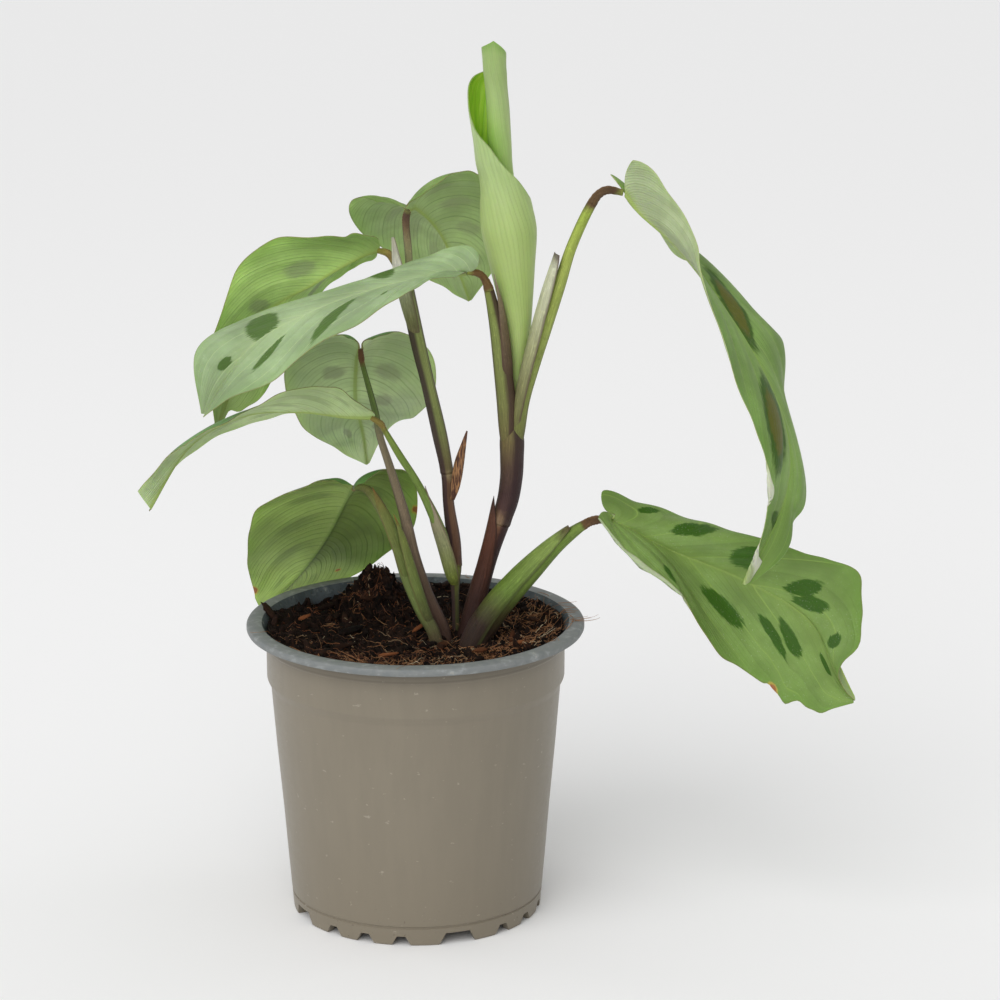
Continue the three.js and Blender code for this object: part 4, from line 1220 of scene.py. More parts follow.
class BladeFinish(Finish):
    """The look of one face of a blade while it is made."""

    def __init__(self, leaf, settings, face):
        super().__init__(f"{leaf['name']} {face}")
        self.leaf, self.face, self.upper = leaf, face, face == "upper"
        self.base = paint(*leaf["upper" if self.upper else "under"])
        across, self.place, vein = self.drawn("blade")
        self.stains, self.scorch, self.from_rib = self.drawn("spots")
        self.reach = abs(across)
        self.inside = 1 - self.reach.step(0.9, 1.0)
        self.broad = self.cloud(48, 4)
        self.fine = self.cloud(420, 5)
        self.streaks = self.noise(self.vector(vein * 120.0, self.reach * 7.0, across * 2.0), 3)
        wobble = (self.cloud(150, 2) - 0.5) * 0.008
        main_place = vein / VEINED_LENGTH + wobble * 0.4
        self.fine_line = self.lines(vein + wobble, settings.fine_veins, 0.6, 1.0)
        self.strong_line = self.lines(vein + wobble, settings.fine_veins / 3, 0.86, 1.0)
        self.main_line = self.lines(main_place, settings.side_veins, 0.93, 1.0)
        self.from_valley = (main_place * float(settings.side_veins) - 0.5).fract()

    def upper_layers(self):
        """Fine veins, painted shade in the valleys beside the pale main veins, light bluish patches
        of bloom that are partly painted sheen, and a pale midrib.
        """
        base = self.base
        pale = [c + lift for c, lift in zip(scaled(base, 1.35, 1.28, 1.3), (0.03, 0.03, 0))]
        # Painted shade in the valley just beside each main vein.
        valley_shade = (1 - self.from_valley.step(0.0, 0.35)) * self.inside
        # Light bluish patches: partly the leaf's bloom, partly painted sheen.
        bloom_and_sheen = (self.broad * 0.6 + self.fine * 0.5).step(0.55, 0.72)
        return [
            (self.fine_line * 0.07, scaled(base, 0.7)),
            (valley_shade * 0.36, scaled(base, 0.66)),
            (self.main_line * self.inside * 0.7, pale),
            (bloom_and_sheen * 0.32, scaled(base, 1.25, 1.2, 1.35)),
            ((1 - self.from_rib.step(0.5, 6.0)) * 0.25, pale),
            ((1 - self.from_rib.step(0.2, 0.7)) * 0.45, pale),
            (self.reach.step(0.7, 1.0) * 0.3, scaled(base, 0.7, 0.82, 0.5)),
        ]

    def under_layers(self):
        """Dark fine veins, every third one stronger, and a paler midrib."""
        dark = scaled(self.base, 0.52, 0.56, 0.5)
        tint = paint(*self.leaf.get("midrib_tint", (156, 176, 92)))
        return [
            (self.fine_line * self.inside * 0.22, dark),
            (self.strong_line * self.inside * 0.58, dark),
            ((1 - self.from_rib.step(0.6, 2.2)) * 0.3, tint),
            ((1 - self.from_rib.step(0.35, 0.8)) * 0.75, tint),
            (self.reach.step(0.75, 1.0) * 0.3, scaled(self.base, 0.85, 0.95, 0.55)),
        ]

    def blotch_colour(self):
        """The colour of the blotches, with brown hearts where the blade has them."""
        if self.upper == (self.leaf["name"] in FRONT_SIDES):
            stain = paint(*self.leaf["stain"])
        else:
            stain = paint(*UNSEEN_STAIN) if self.upper else scaled(self.base, 0.8)
        colour = self.mix(self.fine.step(0.35, 0.7) * 0.3, stain, scaled(stain, 1.3))
        heart = self.leaf.get("heart", 0) if self.upper else 0
        if heart:
            middle = (self.stains + (self.fine - 0.5) * 0.4).step(0.3, 0.5)
            before_tip = 1 - self.place.step(0.86, 0.9)
            colour = self.mix(middle * before_tip * heart, colour, paint(98, 86, 12))
        return colour

    def shaded(self, colour):
        """A colour with painted shade towards the tip, and the pale face of a turned margin."""
        # Painted shade that darkens the blade towards its tip.
        if "far_shade" in self.leaf:
            start, full, depth = self.leaf["far_shade"]
            colour = self.shade(colour, 1 - self.place.step(start, full) * (1 - depth))
        if "fold" in self.leaf and not self.upper:
            start, end, pale = self.leaf["fold"]
            along = self.place.step(start, start + 0.04) * (1 - self.place.step(end - 0.04, end))
            folded = along * self.reach.step(0.5, 0.7)
            colour = self.mix(folded * 0.85, colour, paint(*pale))
        return colour

    def finished(self):
        """The whole look: veins, blotches, mottling, dry spots, dust and a thin dark margin."""
        upper, fine, streaks = self.upper, self.fine, self.streaks
        edge = paint(*self.leaf.get("edge", (112, 96, 70)))
        mottle = self.broad.step(0.32, 0.68)
        colour = self.mix(mottle, scaled(self.base, 0.8), scaled(self.base, 1.15))
        ragged = self.stains + (streaks - 0.5) * 0.7 + (fine - 0.5) * 0.3
        covered = ragged.step(-0.05, 0.2 if upper else 0.5)
        colour = self.layer(colour, [
            (streaks.step(0.3, 0.8) * (0.13 if upper else 0.2), scaled(self.base, 0.78)),
            *(self.upper_layers() if upper else self.under_layers()),
            (covered * (0.92 if upper else 0.62), self.blotch_colour()),
        ])
        burn = self.scorch + (fine - 0.5) * 0.9
        dust = self.cloud(2600, 1).step(0.69, 0.75) * self.broad.step(0.42, 0.6)
        colour = self.layer(self.shaded(colour), [
            (self.reach.step(0.972, 1.0) * 0.4, edge),
            (burn.step(-0.25, 0.1) * 0.8, paint(178, 150, 72)),
            (burn.step(0.1, 0.35), paint(150, 92, 62)),
            (dust * (0.4 if upper else 0.12), paint(206, 208, 190)),
        ])
        if self.face == "rim":
            colour = self.mix(fine.step(0.3, 0.7), edge, paint(150, 150, 96))
        relief = self.fine_line * (-0.3 if upper else 0.6) + streaks * 0.35 + fine * 0.7
        relief = relief + self.cloud(1800, 2) * 0.4
        rough = (0.42 if upper else 0.55) + (fine - 0.5) * 0.18 + self.broad * 0.04
        return self.surface(
            base_color=colour, roughness=rough, specular_ior_level=0.16,
            normal=self.bump(relief, 0.0002, 0.75), subsurface_weight=0.3,
            subsurface_radius=(0.6, 1.0, 0.25), subsurface_scale=0.0012,
        )


def stem_frames(points, shares):
    """Centres, radii and two cross directions along a stem's route."""
    route = curve_points(points, shares)
    ahead, behind = (curve_points(points, shares + step)[:, :3] for step in (0.0005, -0.0005))
    tangents = unit(ahead - behind)
    side = np.array([0.0, -1.0, 0.0])
    sides = []
    for tangent in tangents:
        side = unit(side - tangent * (side @ tangent))
        sides.append(side)
    sides = np.array(sides)
    return route[:, :3], route[:, 3:], np.cross(sides, tangents), sides


def wrapped_points(frames, angle, swell=1.0):
    """Points at some angles round each centre of a route."""
    centres, radii, across, sideways = frames
    radii = radii * swell
    return (
        centres[:, None]
        + across[:, None] * (radii * np.cos(angle))[..., None]
        + sideways[:, None] * (radii * np.sin(angle))[..., None]
    )


def stem_finish(name, colours, edge, edge_share, painted_shade_side=0):
    """The look of a stem: colours along the route, long fine ribs, dark edges at the sides that on
    a stem are partly painted shade, and painted shade on one side.
    """
    made = Finish(name)
    cosine, sine, along = made.drawn("stem")
    ledge, _, _ = made.drawn("lap")
    ribs = made.noise(made.vector(cosine * 7.0, sine * 7.0, along * 6.0), 3)
    threads = made.noise(made.vector(cosine * 20.0, sine * 20.0, along * 12.0), 2)
    mottle = made.cloud(240, 4)
    flecks = made.cloud(1500, 2, stretch=(1, 1, 0.4)).step(0.6, 0.68)
    shifted = along + (mottle - 0.5) * 0.06
    colour = made.ramp(shifted, [(place, paint(*tint)) for place, tint in colours])
    colour = made.shade(colour, 0.5 + ribs * 0.92)
    for share, amount in (
        (threads.step(0.56, 0.66) * 0.45, 1.6),
        ((1 - threads.step(0.36, 0.46)) * 0.5, 0.55),
        (mottle.step(0.55, 0.75) * 0.45, 0.55),
        (flecks * 0.3, 1.7),
    ):
        colour = made.mix(share, colour, made.shade(colour, amount))
    # Dark edges: on a sheath end its margins; on a stem the sides seen from the front, partly its
    # purple and partly painted shade.
    border = (abs(cosine) + (ribs - 0.5) * 0.3).step(0.72, 0.98)
    layers = [(border * edge_share, paint(*edge)), (ledge * 0.5, paint(172, 168, 134))]
    # Painted shade that darkens one side of the stem.
    if painted_shade_side:
        shadow = (cosine * float(painted_shade_side) + (ribs - 0.5) * 0.5).step(-0.1, 0.35)
        layers.insert(0, (shadow * 0.88, paint(*edge)))
    colour = made.layer(colour, layers)
    relief = ribs + threads * 0.5 + made.cloud(900, 3) * 0.3
    return made.surface(
        base_color=colour, roughness=0.44 + mottle * 0.18, normal=made.bump(relief, 0.0004, 0.9),
        subsurface_weight=0.12, subsurface_radius=(0.8, 0.7, 0.3), subsurface_scale=0.001,
        specular_ior_level=0.28,
    )


def tube_grid(points, shares, sides, swell=1.0):
    """Rings of a tube along a route, with their angle round it."""
    angle = 2 * np.pi * np.arange(sides) / sides
    return wrapped_points(stem_frames(points, shares), angle, swell), angle


def tube_faces(count, sides):
    """The faces of a closed tube, from its count of rings and of sides."""
    index = np.arange(count * sides).reshape(count, sides)
    beside = np.roll(index, -1, axis=1)
    faces = np.stack([index[:-1], beside[:-1], beside[1:], index[1:]], -1).reshape(-1, 4).tolist()
    return faces + [index[0][::-1].tolist(), index[-1].tolist()]


def tube_piece(name, grid, drawn, finish):
    """A closed tube from its rings."""
    values = {key: triples(*parts) for key, parts in drawn.items()}
    faces = tube_faces(*grid.shape[:2])
    return new_piece(name, grid.reshape(-1, 3), faces, [finish], drawn=values)


def stem_pieces(stem):
    """The pieces of one stem's route, the sheathed ones with the wrapped edge of their sheath."""
    points = stem["points"]
    first = 0
    for name, last, slot in stem["pieces"]:
        joint = slot == "leaf_joint"
        count = (last - first) * RINGS_TO_A_SPAN
        shares = np.linspace(first, last, count + 1) / (len(points) - 1)
        local = np.linspace(0, 1, count + 1)[:, None]
        seam = (np.arange(TUBE_SIDES) / TUBE_SIDES - 0.1 * np.sin(5 * local) - 0.78) % 1.0
        lap = SHEATH_LAP if slot in ("stem_green", "stem_sheath") else 0
        if joint:
            knuckles = 0.035 * np.sin(local * 40)
            look = (stem.get("joint_edge", (128, 92, 52)), 0.45)
        else:
            knuckles = 0.07 * hump(local * (last - first), 0, 0.25) * (first > 0)
            edge, edge_share = stem.get("edge", (62, 42, 44)), stem.get("edge_share", 0.6)
            look = (edge, edge_share, stem.get("painted_shade_side", 0))
        wrap = lap * (0.5 - seam) * np.sin(np.pi * np.clip(local, 0.02, 0.98)) ** 0.4
        grid, angle = tube_grid(points, shares, TUBE_SIDES, 1 + wrap + knuckles)
        ledge = np.clip(1 - np.minimum(seam, 1 - seam) * 14, 0, 1) * (lap > 0)
        drawn = {"stem": (np.cos(angle), np.sin(angle), shares[:, None]), "lap": (ledge, 0, 0)}
        finish = stem_finish(name, stem["colours"], *look)
        dress(tube_piece(name + "_skin", grid, drawn, finish), slot, name)
        first = last


def roll_piece(settings):
    """The rolled young leaf, a thin sheet wound round itself, with a pointed tip."""
    rows, columns = ROLL_GRID
    up = np.linspace(0, 1, rows)[:, None]
    table = curve_points(ROLL_ROWS, up[:, 0])
    height, axis, inner, outer, start, end = (table[:, k:k + 1] for k in range(6))
    share = np.linspace(0, 1, columns)
    degrees = start + (end - start) * share
    opens, opening = ROLL_OPENING
    out = np.clip((degrees - opens) / opening, 0, 1)
    radius = inner + (outer - inner) * out * out * (3 - 2 * out)
    turn = np.radians(degrees)
    tip = np.clip((height - ROLL_TIP_START) / ROLL_TIP_HEIGHT, 0, 1) ** 2
    from_front = np.abs(np.sin((turn + np.radians(ROLL_HIGH_SIDE)) / 2))
    height = height - ROLL_TIP_DROP * tip * from_front * (1 + 0.25 * np.cos(turn))
    grid = np.stack([axis + radius * np.cos(turn), ROLL_DEPTH + radius * np.sin(turn), height], -1)
    half = THIN_HALF * grid_normals(grid)
    drawn = {"roll": triples(share * 2 - 1, up, degrees / 360 + 0.35 * up)}
    materials = [roll_finish(settings, face) for face in ("outside", "inside", "rim")]
    piece = sheet_piece("leaf_rolled_blade", grid + half, grid - half, drawn, materials)
    return dress(piece, "leaf_young", "leaf_rolled")


def roll_finish(settings, face):
    """Young leaf: fine veins that run up the roll, and a bright yellow-green where the inside
    shows, partly its own colour and partly painted light for the shaded inside.
    """
    made = Finish(f"leaf_rolled {face}")
    across, place, lines = made.drawn("roll")
    base = tuple(settings.young)
    broad = made.cloud(70, 3)
    streaks = made.noise(made.vector(lines * 26.0, place * 5.0, across), 3)
    wobble = (made.cloud(90, 2) - 0.5) * 0.02
    fine_line = made.lines(lines + wobble, 34, 0.6, 1.0)
    # Where the inner winding shows: its own yellow-green, made brighter as painted light where the
    # roll's inside lies in shade.
    inner = (1 - across.step(-0.5, 0.2)) * (1 - place.step(0.64, 0.82))
    streaky = streaks.step(0.3, 0.7)
    colour = made.layer(made.mix(streaky, scaled(base, 0.9), scaled(base, 1.08)), [
        ((1 - place.step(0.2, 0.62)) * 0.75, paint(166, 188, 104)),
        (broad.step(0.5, 0.75) * 0.3, paint(140, 172, 84)),
        (place.step(0.68, 0.85) * 0.6, paint(140, 164, 92)),
        (inner * 0.75, paint(132, 176, 58)),
        (place.step(0.965, 1.0) * 0.6, paint(112, 150, 58)),
    ])
    # The inside face: its own yellow-green, brightened as painted light for the shaded inside of
    # the roll.
    if face == "inside":
        inside_green_and_light = made.mix(streaky, paint(148, 192, 40), paint(186, 216, 72))
        colour = made.mix(0.92, colour, inside_green_and_light)
    colour = made.mix(fine_line * 0.22, colour, made.shade(colour, 0.66))
    colour = made.mix(abs(across).step(0.985, 1.0) * 0.6, colour, paint(112, 128, 66))
    relief = fine_line * -0.5 + made.cloud(500, 3) * 0.5 + streaks * 0.7
    return made.surface(
        base_color=colour, roughness=0.4 + broad * 0.12, normal=made.bump(relief, 0.0002, 0.7),
        subsurface_weight=0.35, subsurface_radius=(0.6, 1.0, 0.25), subsurface_scale=0.0015,
        specular_ior_level=0.45,
    )


def bract_finish():
    """Dry papery bract, orange-brown with dark streaks."""
    made = Finish("dry bract")
    _, _, along = made.drawn("stem")
    streak = made.cloud(400, 4, stretch=(4, 4, 0.6))
    colour = made.mix(streak.step(0.42, 0.62), paint(74, 42, 28), paint(164, 120, 78))
    colour = made.mix(along.step(0.75, 1.0), colour, paint(86, 50, 34))
    return made.surface(base_color=colour, roughness=0.7, normal=made.bump(streak, 0.0003))


def bract_piece():
    """The dry bract, a pointed folded scale that stands off the back shoot."""
    shares = np.linspace(0, 1, BRACT_ROWS)
    angle = 2 * np.pi * np.arange(BRACT_SIDES) / BRACT_SIDES
    folds = 0.82 + 0.22 * np.cos(2 * angle) + 0.12 * np.sin(5 * angle + 6 * shares[:, None])
    grid, _ = tube_grid(BRACT, shares, BRACT_SIDES, folds)
    drawn = {"stem": (np.cos(angle), np.sin(angle), shares[:, None])}
    piece = tube_piece("dry_bract_scale", grid, drawn, bract_finish())
    return dress(piece, "dry_bract", "dry_bract")


def scale_piece(scale):
    """A pointed sheath end, a thin scale that wraps part of the way round its stalk."""
    shares = np.linspace(0, 1, SCALE_ROWS)
    from_middle = np.linspace(-1, 1, SCALE_COLUMNS)
    narrow = np.clip(1 - shares ** scale.get("bluntness", 2.5), 0, 1)[:, None] ** 0.8
    narrow = narrow + scale.get("end", 0) * (1 - narrow)
    angle = np.radians(scale["facing"]) + np.radians(scale["spread"] / 2) * from_middle * narrow
    grid = wrapped_points(stem_frames(scale["points"], shares), angle)
    drawn = {
        "stem": triples(from_middle, 0.3, shares[:, None]),
        "lap": np.zeros((angle.size, 3)),
    }
    finish = stem_finish(scale["name"], scale["colours"], scale["edge"], 0.75)
    half = grid_normals(grid) * (THIN_HALF - 0.1 * np.abs(from_middle) ** 4)[:, None]
    piece = sheet_piece(scale["name"], grid + half, grid - half, drawn, [finish] * 3)
    return dress(piece, "stem_sheath")


def pot_finish(settings, inside):
    """Moulded plastic: a thin greyer rim, faint flow marks, scuffs, dusty soil specks, a painted
    shadow under the lip with a painted dark line in its groove, and an inside that is partly
    painted shade.
    """
    made = Finish("pot inside" if inside else "pot plastic")
    _, _, height = made.split(made.spot())
    tall = height / MM
    flow = made.cloud(70, 3, stretch=(3, 3, 0.6))
    grain = made.cloud(2600, 2)
    marks = made.cloud(300, 6, stretch=(1, 1, 1.6))
    specks = made.cloud(1500, 2)
    wall = tuple(settings.wall)
    lip = tall.step(102.9, 103.5)
    colour = made.layer(made.mix(flow.step(0.3, 0.7), scaled(wall, 0.975), scaled(wall, 1.025)), [
        ((1 - tall.step(0, 60)) * 0.6, paint(122, 113, 97)),
        # Painted shadow on the wall just under the lip.
        (tall.step(94, 103) * 0.3, paint(70, 64, 56)),
        # Painted shade: a thin dark line in the small groove under the lip.
        ((1 - abs(tall - 99.6).step(0.15, 0.5)) * 0.3, paint(78, 72, 62)),
        (lip, tuple(settings.rim)),
        (lip * marks.step(0.52, 0.66) * 0.25, paint(172, 178, 178)),
        (lip * (1 - marks.step(0.36, 0.5)) * 0.3, paint(96, 104, 108)),
    ])
    # The inside: its own dark blue-grey plastic, made darker still with painted shade.
    if inside:
        colour = made.layer(made.mix(flow.step(0.3, 0.7), paint(58, 66, 70), paint(78, 86, 90)), [
            (marks.step(0.55, 0.66) * 0.4, paint(112, 120, 122)),
            (specks.step(0.6, 0.68) * 0.7, paint(58, 42, 32)),
        ])
    dirt = made.cloud(650, 3).step(0.66, 0.76) * (1 - tall.step(2, 20))
    colour = made.layer(colour, [
        ((marks + grain * 0.1).step(0.72, 0.76) * 0.3, paint(184, 178, 164)),
        (specks.step(0.74, 0.78) * 0.45, paint(96, 86, 72)),
        (dirt * 0.6, paint(70, 50, 38)),
    ])
    relief = grain * 0.35 + flow * 0.4 + marks * 0.3
    return made.surface(
        base_color=colour, roughness=settings.roughness + marks * 0.14 + lip * 0.22,
        normal=made.bump(relief, 0.00008, 0.5), specular_ior_level=0.4,
    )


def ring_points(radius, height, sides):
    """Points of a level ring about the pot's axis."""
    turns = 2 * np.pi * np.arange(sides) / sides
    return [(radius * math.cos(turn), radius * math.sin(turn), height) for turn in turns]


def wedge(bottom, top, height, degrees):
    """The two end outlines of a cutter that reaches out through the foot ring at an angle."""
    outline = [
        (-bottom / 2, -1), (bottom / 2, -1), (bottom / 2, 0),
        (top / 2, height), (-top / 2, height), (-bottom / 2, 0),
    ]
    turn = math.radians(degrees)
    return [
        [
            (
                x * math.cos(turn) + reach * math.sin(turn),
                x * math.sin(turn) - reach * math.cos(turn),
                z,
            )
            for x, z in outline
        ]
        for reach in (FOOT_INNER_RADIUS - CUTTER_REACH, FOOT_RADIUS + CUTTER_REACH)
    ]


def drain_hole(number):
    """The two end outlines of the cutter for one hole in the pot's floor."""
    turn = 2 * math.pi * (number + 0.5) / DRAIN_HOLES
    x, y = DRAIN_HOLE_RING * math.cos(turn), DRAIN_HOLE_RING * math.sin(turn)
    outlines = []
    for level in DRAIN_HOLE_SPAN:
        ring = ring_points(DRAIN_HOLE_RADIUS, level, DRAIN_HOLE_SIDES)
        outlines.append([(x + dx, y + dy, z) for dx, dy, z in ring])
    return outlines


def close_prism(body, first, second):
    """Adds a solid between two outlines."""
    first, second = [[body.verts.new(place) for place in outline] for outline in (first, second)]
    body.faces.new(first)
    body.faces.new(second[::-1])
    for k in range(len(first)):
        beside = (k + 1) % len(first)
        body.faces.new([first[k], second[k], second[beside], first[beside]])


def points_and_faces(body):
    """What a bmesh holds, as plain lists. The bmesh is freed."""
    body.verts.index_update()
    points = [tuple(vert.co) for vert in body.verts]
    faces = [[vert.index for vert in face.verts] for face in body.faces]
    body.free()
    return points, faces


def pot_cutter():
    """Everything that is cut from the pot: gaps and notches in the foot, and holes in the floor."""
    body = bmesh.new()
    for quarter in range(4):
        gap = DRAIN_GAP_TURN + DRAIN_GAP_STEP * quarter
        close_prism(body, *wedge(*DRAIN_GAP, gap))
        for step in NOTCH_TURNS:
            close_prism(body, *wedge(*NOTCH, gap + step))
    for number in range(DRAIN_HOLES):
        close_prism(body, *drain_hole(number))
    bmesh.ops.recalc_face_normals(body, faces=body.faces)
    return new_piece("pot_cutter", *points_and_faces(body), [])


def turned_wall(sides):
    """The pot's turned body: points, faces, and whether each face shows the inside."""
    body = bmesh.new()
    rings = []
    for radius, height in POT_OUTLINE:
        places = ring_points(radius, height, sides if radius else 1)
        ring = [body.verts.new(place) for place in places]
        rings.append(ring if radius else ring * sides)
    choice = []
    for row, (lower, upper) in enumerate(zip(rings, rings[1:])):
        for k in range(sides):
            beside = (k + 1) % sides
            corners = [lower[k], lower[beside], upper[beside], upper[k]]
            body.faces.new(list(dict.fromkeys(corners)))
            choice.append(int(row >= LIP_TOP))
    return *points_and_faces(body), choice


def pot_piece(settings):
    """The pot, turned from its outline, with the gaps and holes cut out."""
    points, faces, choice = turned_wall(settings.sides)
    cutter = pot_cutter()
    finishes = [pot_finish(settings, inside) for inside in (False, True)]
    pot = new_piece("pot_moulded", points, faces, finishes, choice)
    cut = pot.modifiers.new("gaps", "BOOLEAN")
    cut.operation = "DIFFERENCE"
    cut.solver = "EXACT"
    cut.object = cutter
    seen = bpy.context.evaluated_depsgraph_get()
    pot.data = bpy.data.meshes.new_from_object(pot.evaluated_get(seen), depsgraph=seen)
    pot.modifiers.clear()
    bpy.data.objects.remove(cutter)
    shade_smooth(pot.data)
    pot.data.set_sharp_from_angle(angle=math.radians(SHARP_EDGE))
    return dress(pot, "pot", "pot")


def soil_height(x, y):
    """Height of the soil's surface above the ground."""
    lumps = math.sin(0.31 * x + 1.3) * math.cos(0.27 * y) + 0.7 * math.sin(0.53 * x - 0.41 * y + 2)
    height = SOIL_LEVEL + SOIL_EDGE_RISE * (math.hypot(x, y) / SOIL_EDGE) ** 3 + 0.5 * lumps
    for cx, cy, rise, wide, deep in (CLUMP, HOLLOW):
        height += rise * math.exp(-(((x - cx) / wide) ** 2) - ((y - cy) / deep) ** 2)
    return height


def rough_height(x, y):
    """The soil's surface with its crumbly relief."""
    coarse = noise.noise(Vector((x, y, 3.0)) * 0.16)
    middle = noise.noise(Vector((x, y, 9.0)) * 0.42)
    small = noise.noise(Vector((x, y, 5.0)) * 1.1)
    tiny = noise.noise(Vector((x, y, 7.0)) * 2.3)
    calm = 1 - 0.5 * min(1, max(0, (math.hypot(x, y) - CALM_START) / CALM_WIDTH))
    return soil_height(x, y) + calm * (1.6 * coarse + 1.3 * middle) + 0.55 * small + 0.2 * tiny


def soil_finish(settings):
    """Peat and coir: nearly black crumbs with browner and reddish patches."""
    made = Finish("soil")
    shade, warm, _ = made.drawn("crumb")
    patches = made.cloud(180, 4)
    grain = made.cloud(1700, 6, rough=0.7)
    threads = made.cloud(700, 4, stretch=(1, 4, 1))
    peat = tuple(settings.peat)
    colour = made.layer(made.mix(patches.step(0.35, 0.7), scaled(peat, 0.5), scaled(peat, 1.6)), [
        (grain.step(0.5, 0.75) * 0.5, paint(96, 62, 44)),
        (threads.step(0.6, 0.7) * 0.4, paint(120, 76, 50)),
        (warm * 0.85, tuple(settings.coir)),
    ])
    relief = grain + threads * 0.6
    return made.surface(
        base_color=made.shade(colour, shade * shade * 0.9 + 0.2), roughness=0.78 + grain * 0.18,
        normal=made.bump(relief, 0.0009, 1.0), specular_ior_level=0.14,
    )


def soil_bed(finish):
    """The body of the soil, with its top roughened."""
    points = []
    for ring in range(1, BED_RINGS + 1):
        radius = SOIL_RADIUS * (ring / BED_RINGS) ** 0.8
        for x, y, _ in ring_points(radius, 0, BED_SIDES):
            points.append((x, y, rough_height(x, y)))
    for radius, height in SOIL_UNDERSIDE:
        points += ring_points(radius, height, BED_SIDES)
    index = np.arange(len(points)).reshape(-1, BED_SIDES)
    beside = np.roll(index, -1, axis=1)
    faces = np.stack([index[:-1], index[1:], beside[1:], beside[:-1]], -1).reshape(-1, 4).tolist()
    faces += [index[-1][::-1].tolist(), index[0].tolist()]
    values = np.tile((0.5, 0, 0), (len(points), 1))
    piece = new_piece("soil_bed", points, faces, [finish], drawn={"crumb": values})
    return dress(piece, "soil", "soil")


class Heap:
    """Many small loose bodies that become one piece of the soil."""

    def __init__(self):
        self.points, self.faces, self.values = [], [], []
        self.total = 0

    def add(self, points, faces, shade, warm=0):
        """Adds one body. Its faces count from its own first point."""
        self.points.append(points)
        self.faces += [[corner + self.total for corner in face] for face in faces]
        self.values.append(np.tile((shade, warm, 0), (len(points), 1)))
        self.total += len(points)

    def piece(self, name, finish):
        """The whole heap as a piece."""
        drawn = {"crumb": np.vstack(self.values)}
        made = new_piece(name, np.vstack(self.points), self.faces, [finish], drawn=drawn)
        return dress(made, "soil")


def ball_shapes(count, subdivisions, seed):
    """Ragged lumps to stamp crumbs from."""
    shapes = []
    for k in range(count):
        ball = bmesh.new()
        bmesh.ops.create_icosphere(ball, subdivisions=subdivisions, radius=1)
        places = []
        for vert in ball.verts:
            broad = noise.noise(vert.co * 1.2 + Vector((k * 7.1, seed, 0)))
            sharp = noise.noise(vert.co * 3.1 + Vector((k * 3.7, seed, 5)))
            places.append(tuple(vert.co * (1 + 0.45 * broad + 0.25 * sharp)))
        _, faces = points_and_faces(ball)
        shapes.append((np.array(places), faces))
    return shapes


def near_stem(x, y):
    """Whether a point of the soil is where a stem stands."""
    return any(math.hypot(x - cx, y - cy) < radius for cx, cy, radius in SOIL_STEMS)


def disc_spot(draw, area):
    """A random spot on a disc of some radius, as its own radius and turn."""
    return area * math.sqrt(draw.random()), draw.uniform(0, 2 * math.pi)


def crumb_piece(settings, finish):
    """Loose crumbs over the soil, more of them on the clump, and a few chips of bark."""
    draw = random.Random(settings.seed)
    small, large = ball_shapes(8, 1, 1), ball_shapes(6, 2, 2)
    smallest, largest = CRUMB_SIZES
    heap = Heap()
    for k in range(settings.crumbs):
        if k % CLUMP_CRUMB_STEP == 0:
            x, y = draw.gauss(CLUMP[0], CLUMP_SPREAD[0]), draw.gauss(CLUMP[1], CLUMP_SPREAD[1])
        else:
            radius, turn = disc_spot(draw, CRUMB_AREA)
            x, y = radius * math.cos(turn), radius * math.sin(turn)
        if math.hypot(x, y) > CRUMB_REACH or near_stem(x, y):
            continue
        size = min(largest, smallest + draw.expovariate(CRUMB_RATE))
        shape, skin = draw.choice(large if size > LARGE_CRUMB else small)
        spin = np.array(Euler([draw.uniform(0, 6.28) for _ in range(3)]).to_matrix())
        long = draw.choice([1, 1, 1.4, 2])
        stretch = [long * draw.uniform(0.8, 1.3), draw.uniform(0.5, 1), draw.uniform(0.35, 0.8)]
        centre = np.array([x, y, rough_height(x, y) + 0.2 * size])
        shade = draw.uniform(0.1, 1.0)
        warm = draw.random() ** 9 * (1 if size < 0.8 else 0.35)
        heap.add((shape * np.array(stretch) * size) @ spin.T + centre, skin, shade, warm)
    for k, (start, end, wide, thick, shade, warm) in enumerate(CHIPS):
        start, end = np.array(start, float), np.array(end, float)
        shape, skin = large[k % len(large)]
        spin = np.array(Vector(end - start).to_track_quat("X", "Z").to_matrix())
        stretch = np.array([np.linalg.norm(end - start) / 2, wide / 2, thick / 2])
        heap.add((shape * stretch) @ spin.T + (start + end) / 2, skin, shade, warm)
    return heap.piece("soil_crumbs", finish)


def fibre_finish(settings):
    """Coir fibres, from dark brown to straw."""
    made = Finish("coir fibre")
    shade, _, _ = made.drawn("crumb")
    stops = [
        (0, paint(34, 20, 14)), (0.5, paint(64, 38, 26)), (0.78, tuple(settings.coir)),
        (0.93, paint(160, 122, 84)), (1, paint(214, 200, 168)),
    ]
    colour = made.shade(made.ramp(shade, stops), 0.6 + made.cloud(900, 2) * 0.8)
    return made.surface(base_color=colour, roughness=0.7, specular_ior_level=0.35)


def fibre_start(draw, k):
    """What kind of fibre one is, and the radius and turn at which it starts."""
    if k % RIM_FIBRE_STEP == 5:
        radius = draw.uniform(*RIM_FIBRE_RADII)
        return "over_rim", radius, draw.choice([draw.uniform(-0.5, 0.4), draw.uniform(-3, 2)])
    if k % STRAW_STEP == 3:
        return "straw", draw.uniform(*STRAW_RADII), draw.gauss(STRAW_TURN, STRAW_SPREAD)
    if k % BED_FIBRE_STEP == 0:
        return "clump", *disc_spot(draw, CLUMP_FIBRE_AREA)
    if k % BED_FIBRE_STEP < 3:
        return "bed", FRONT_FIBRE_AREA * draw.random() ** 0.4, draw.uniform(*FRONT_TURNS)
    return "bed", *disc_spot(draw, BED_FIBRE_AREA)


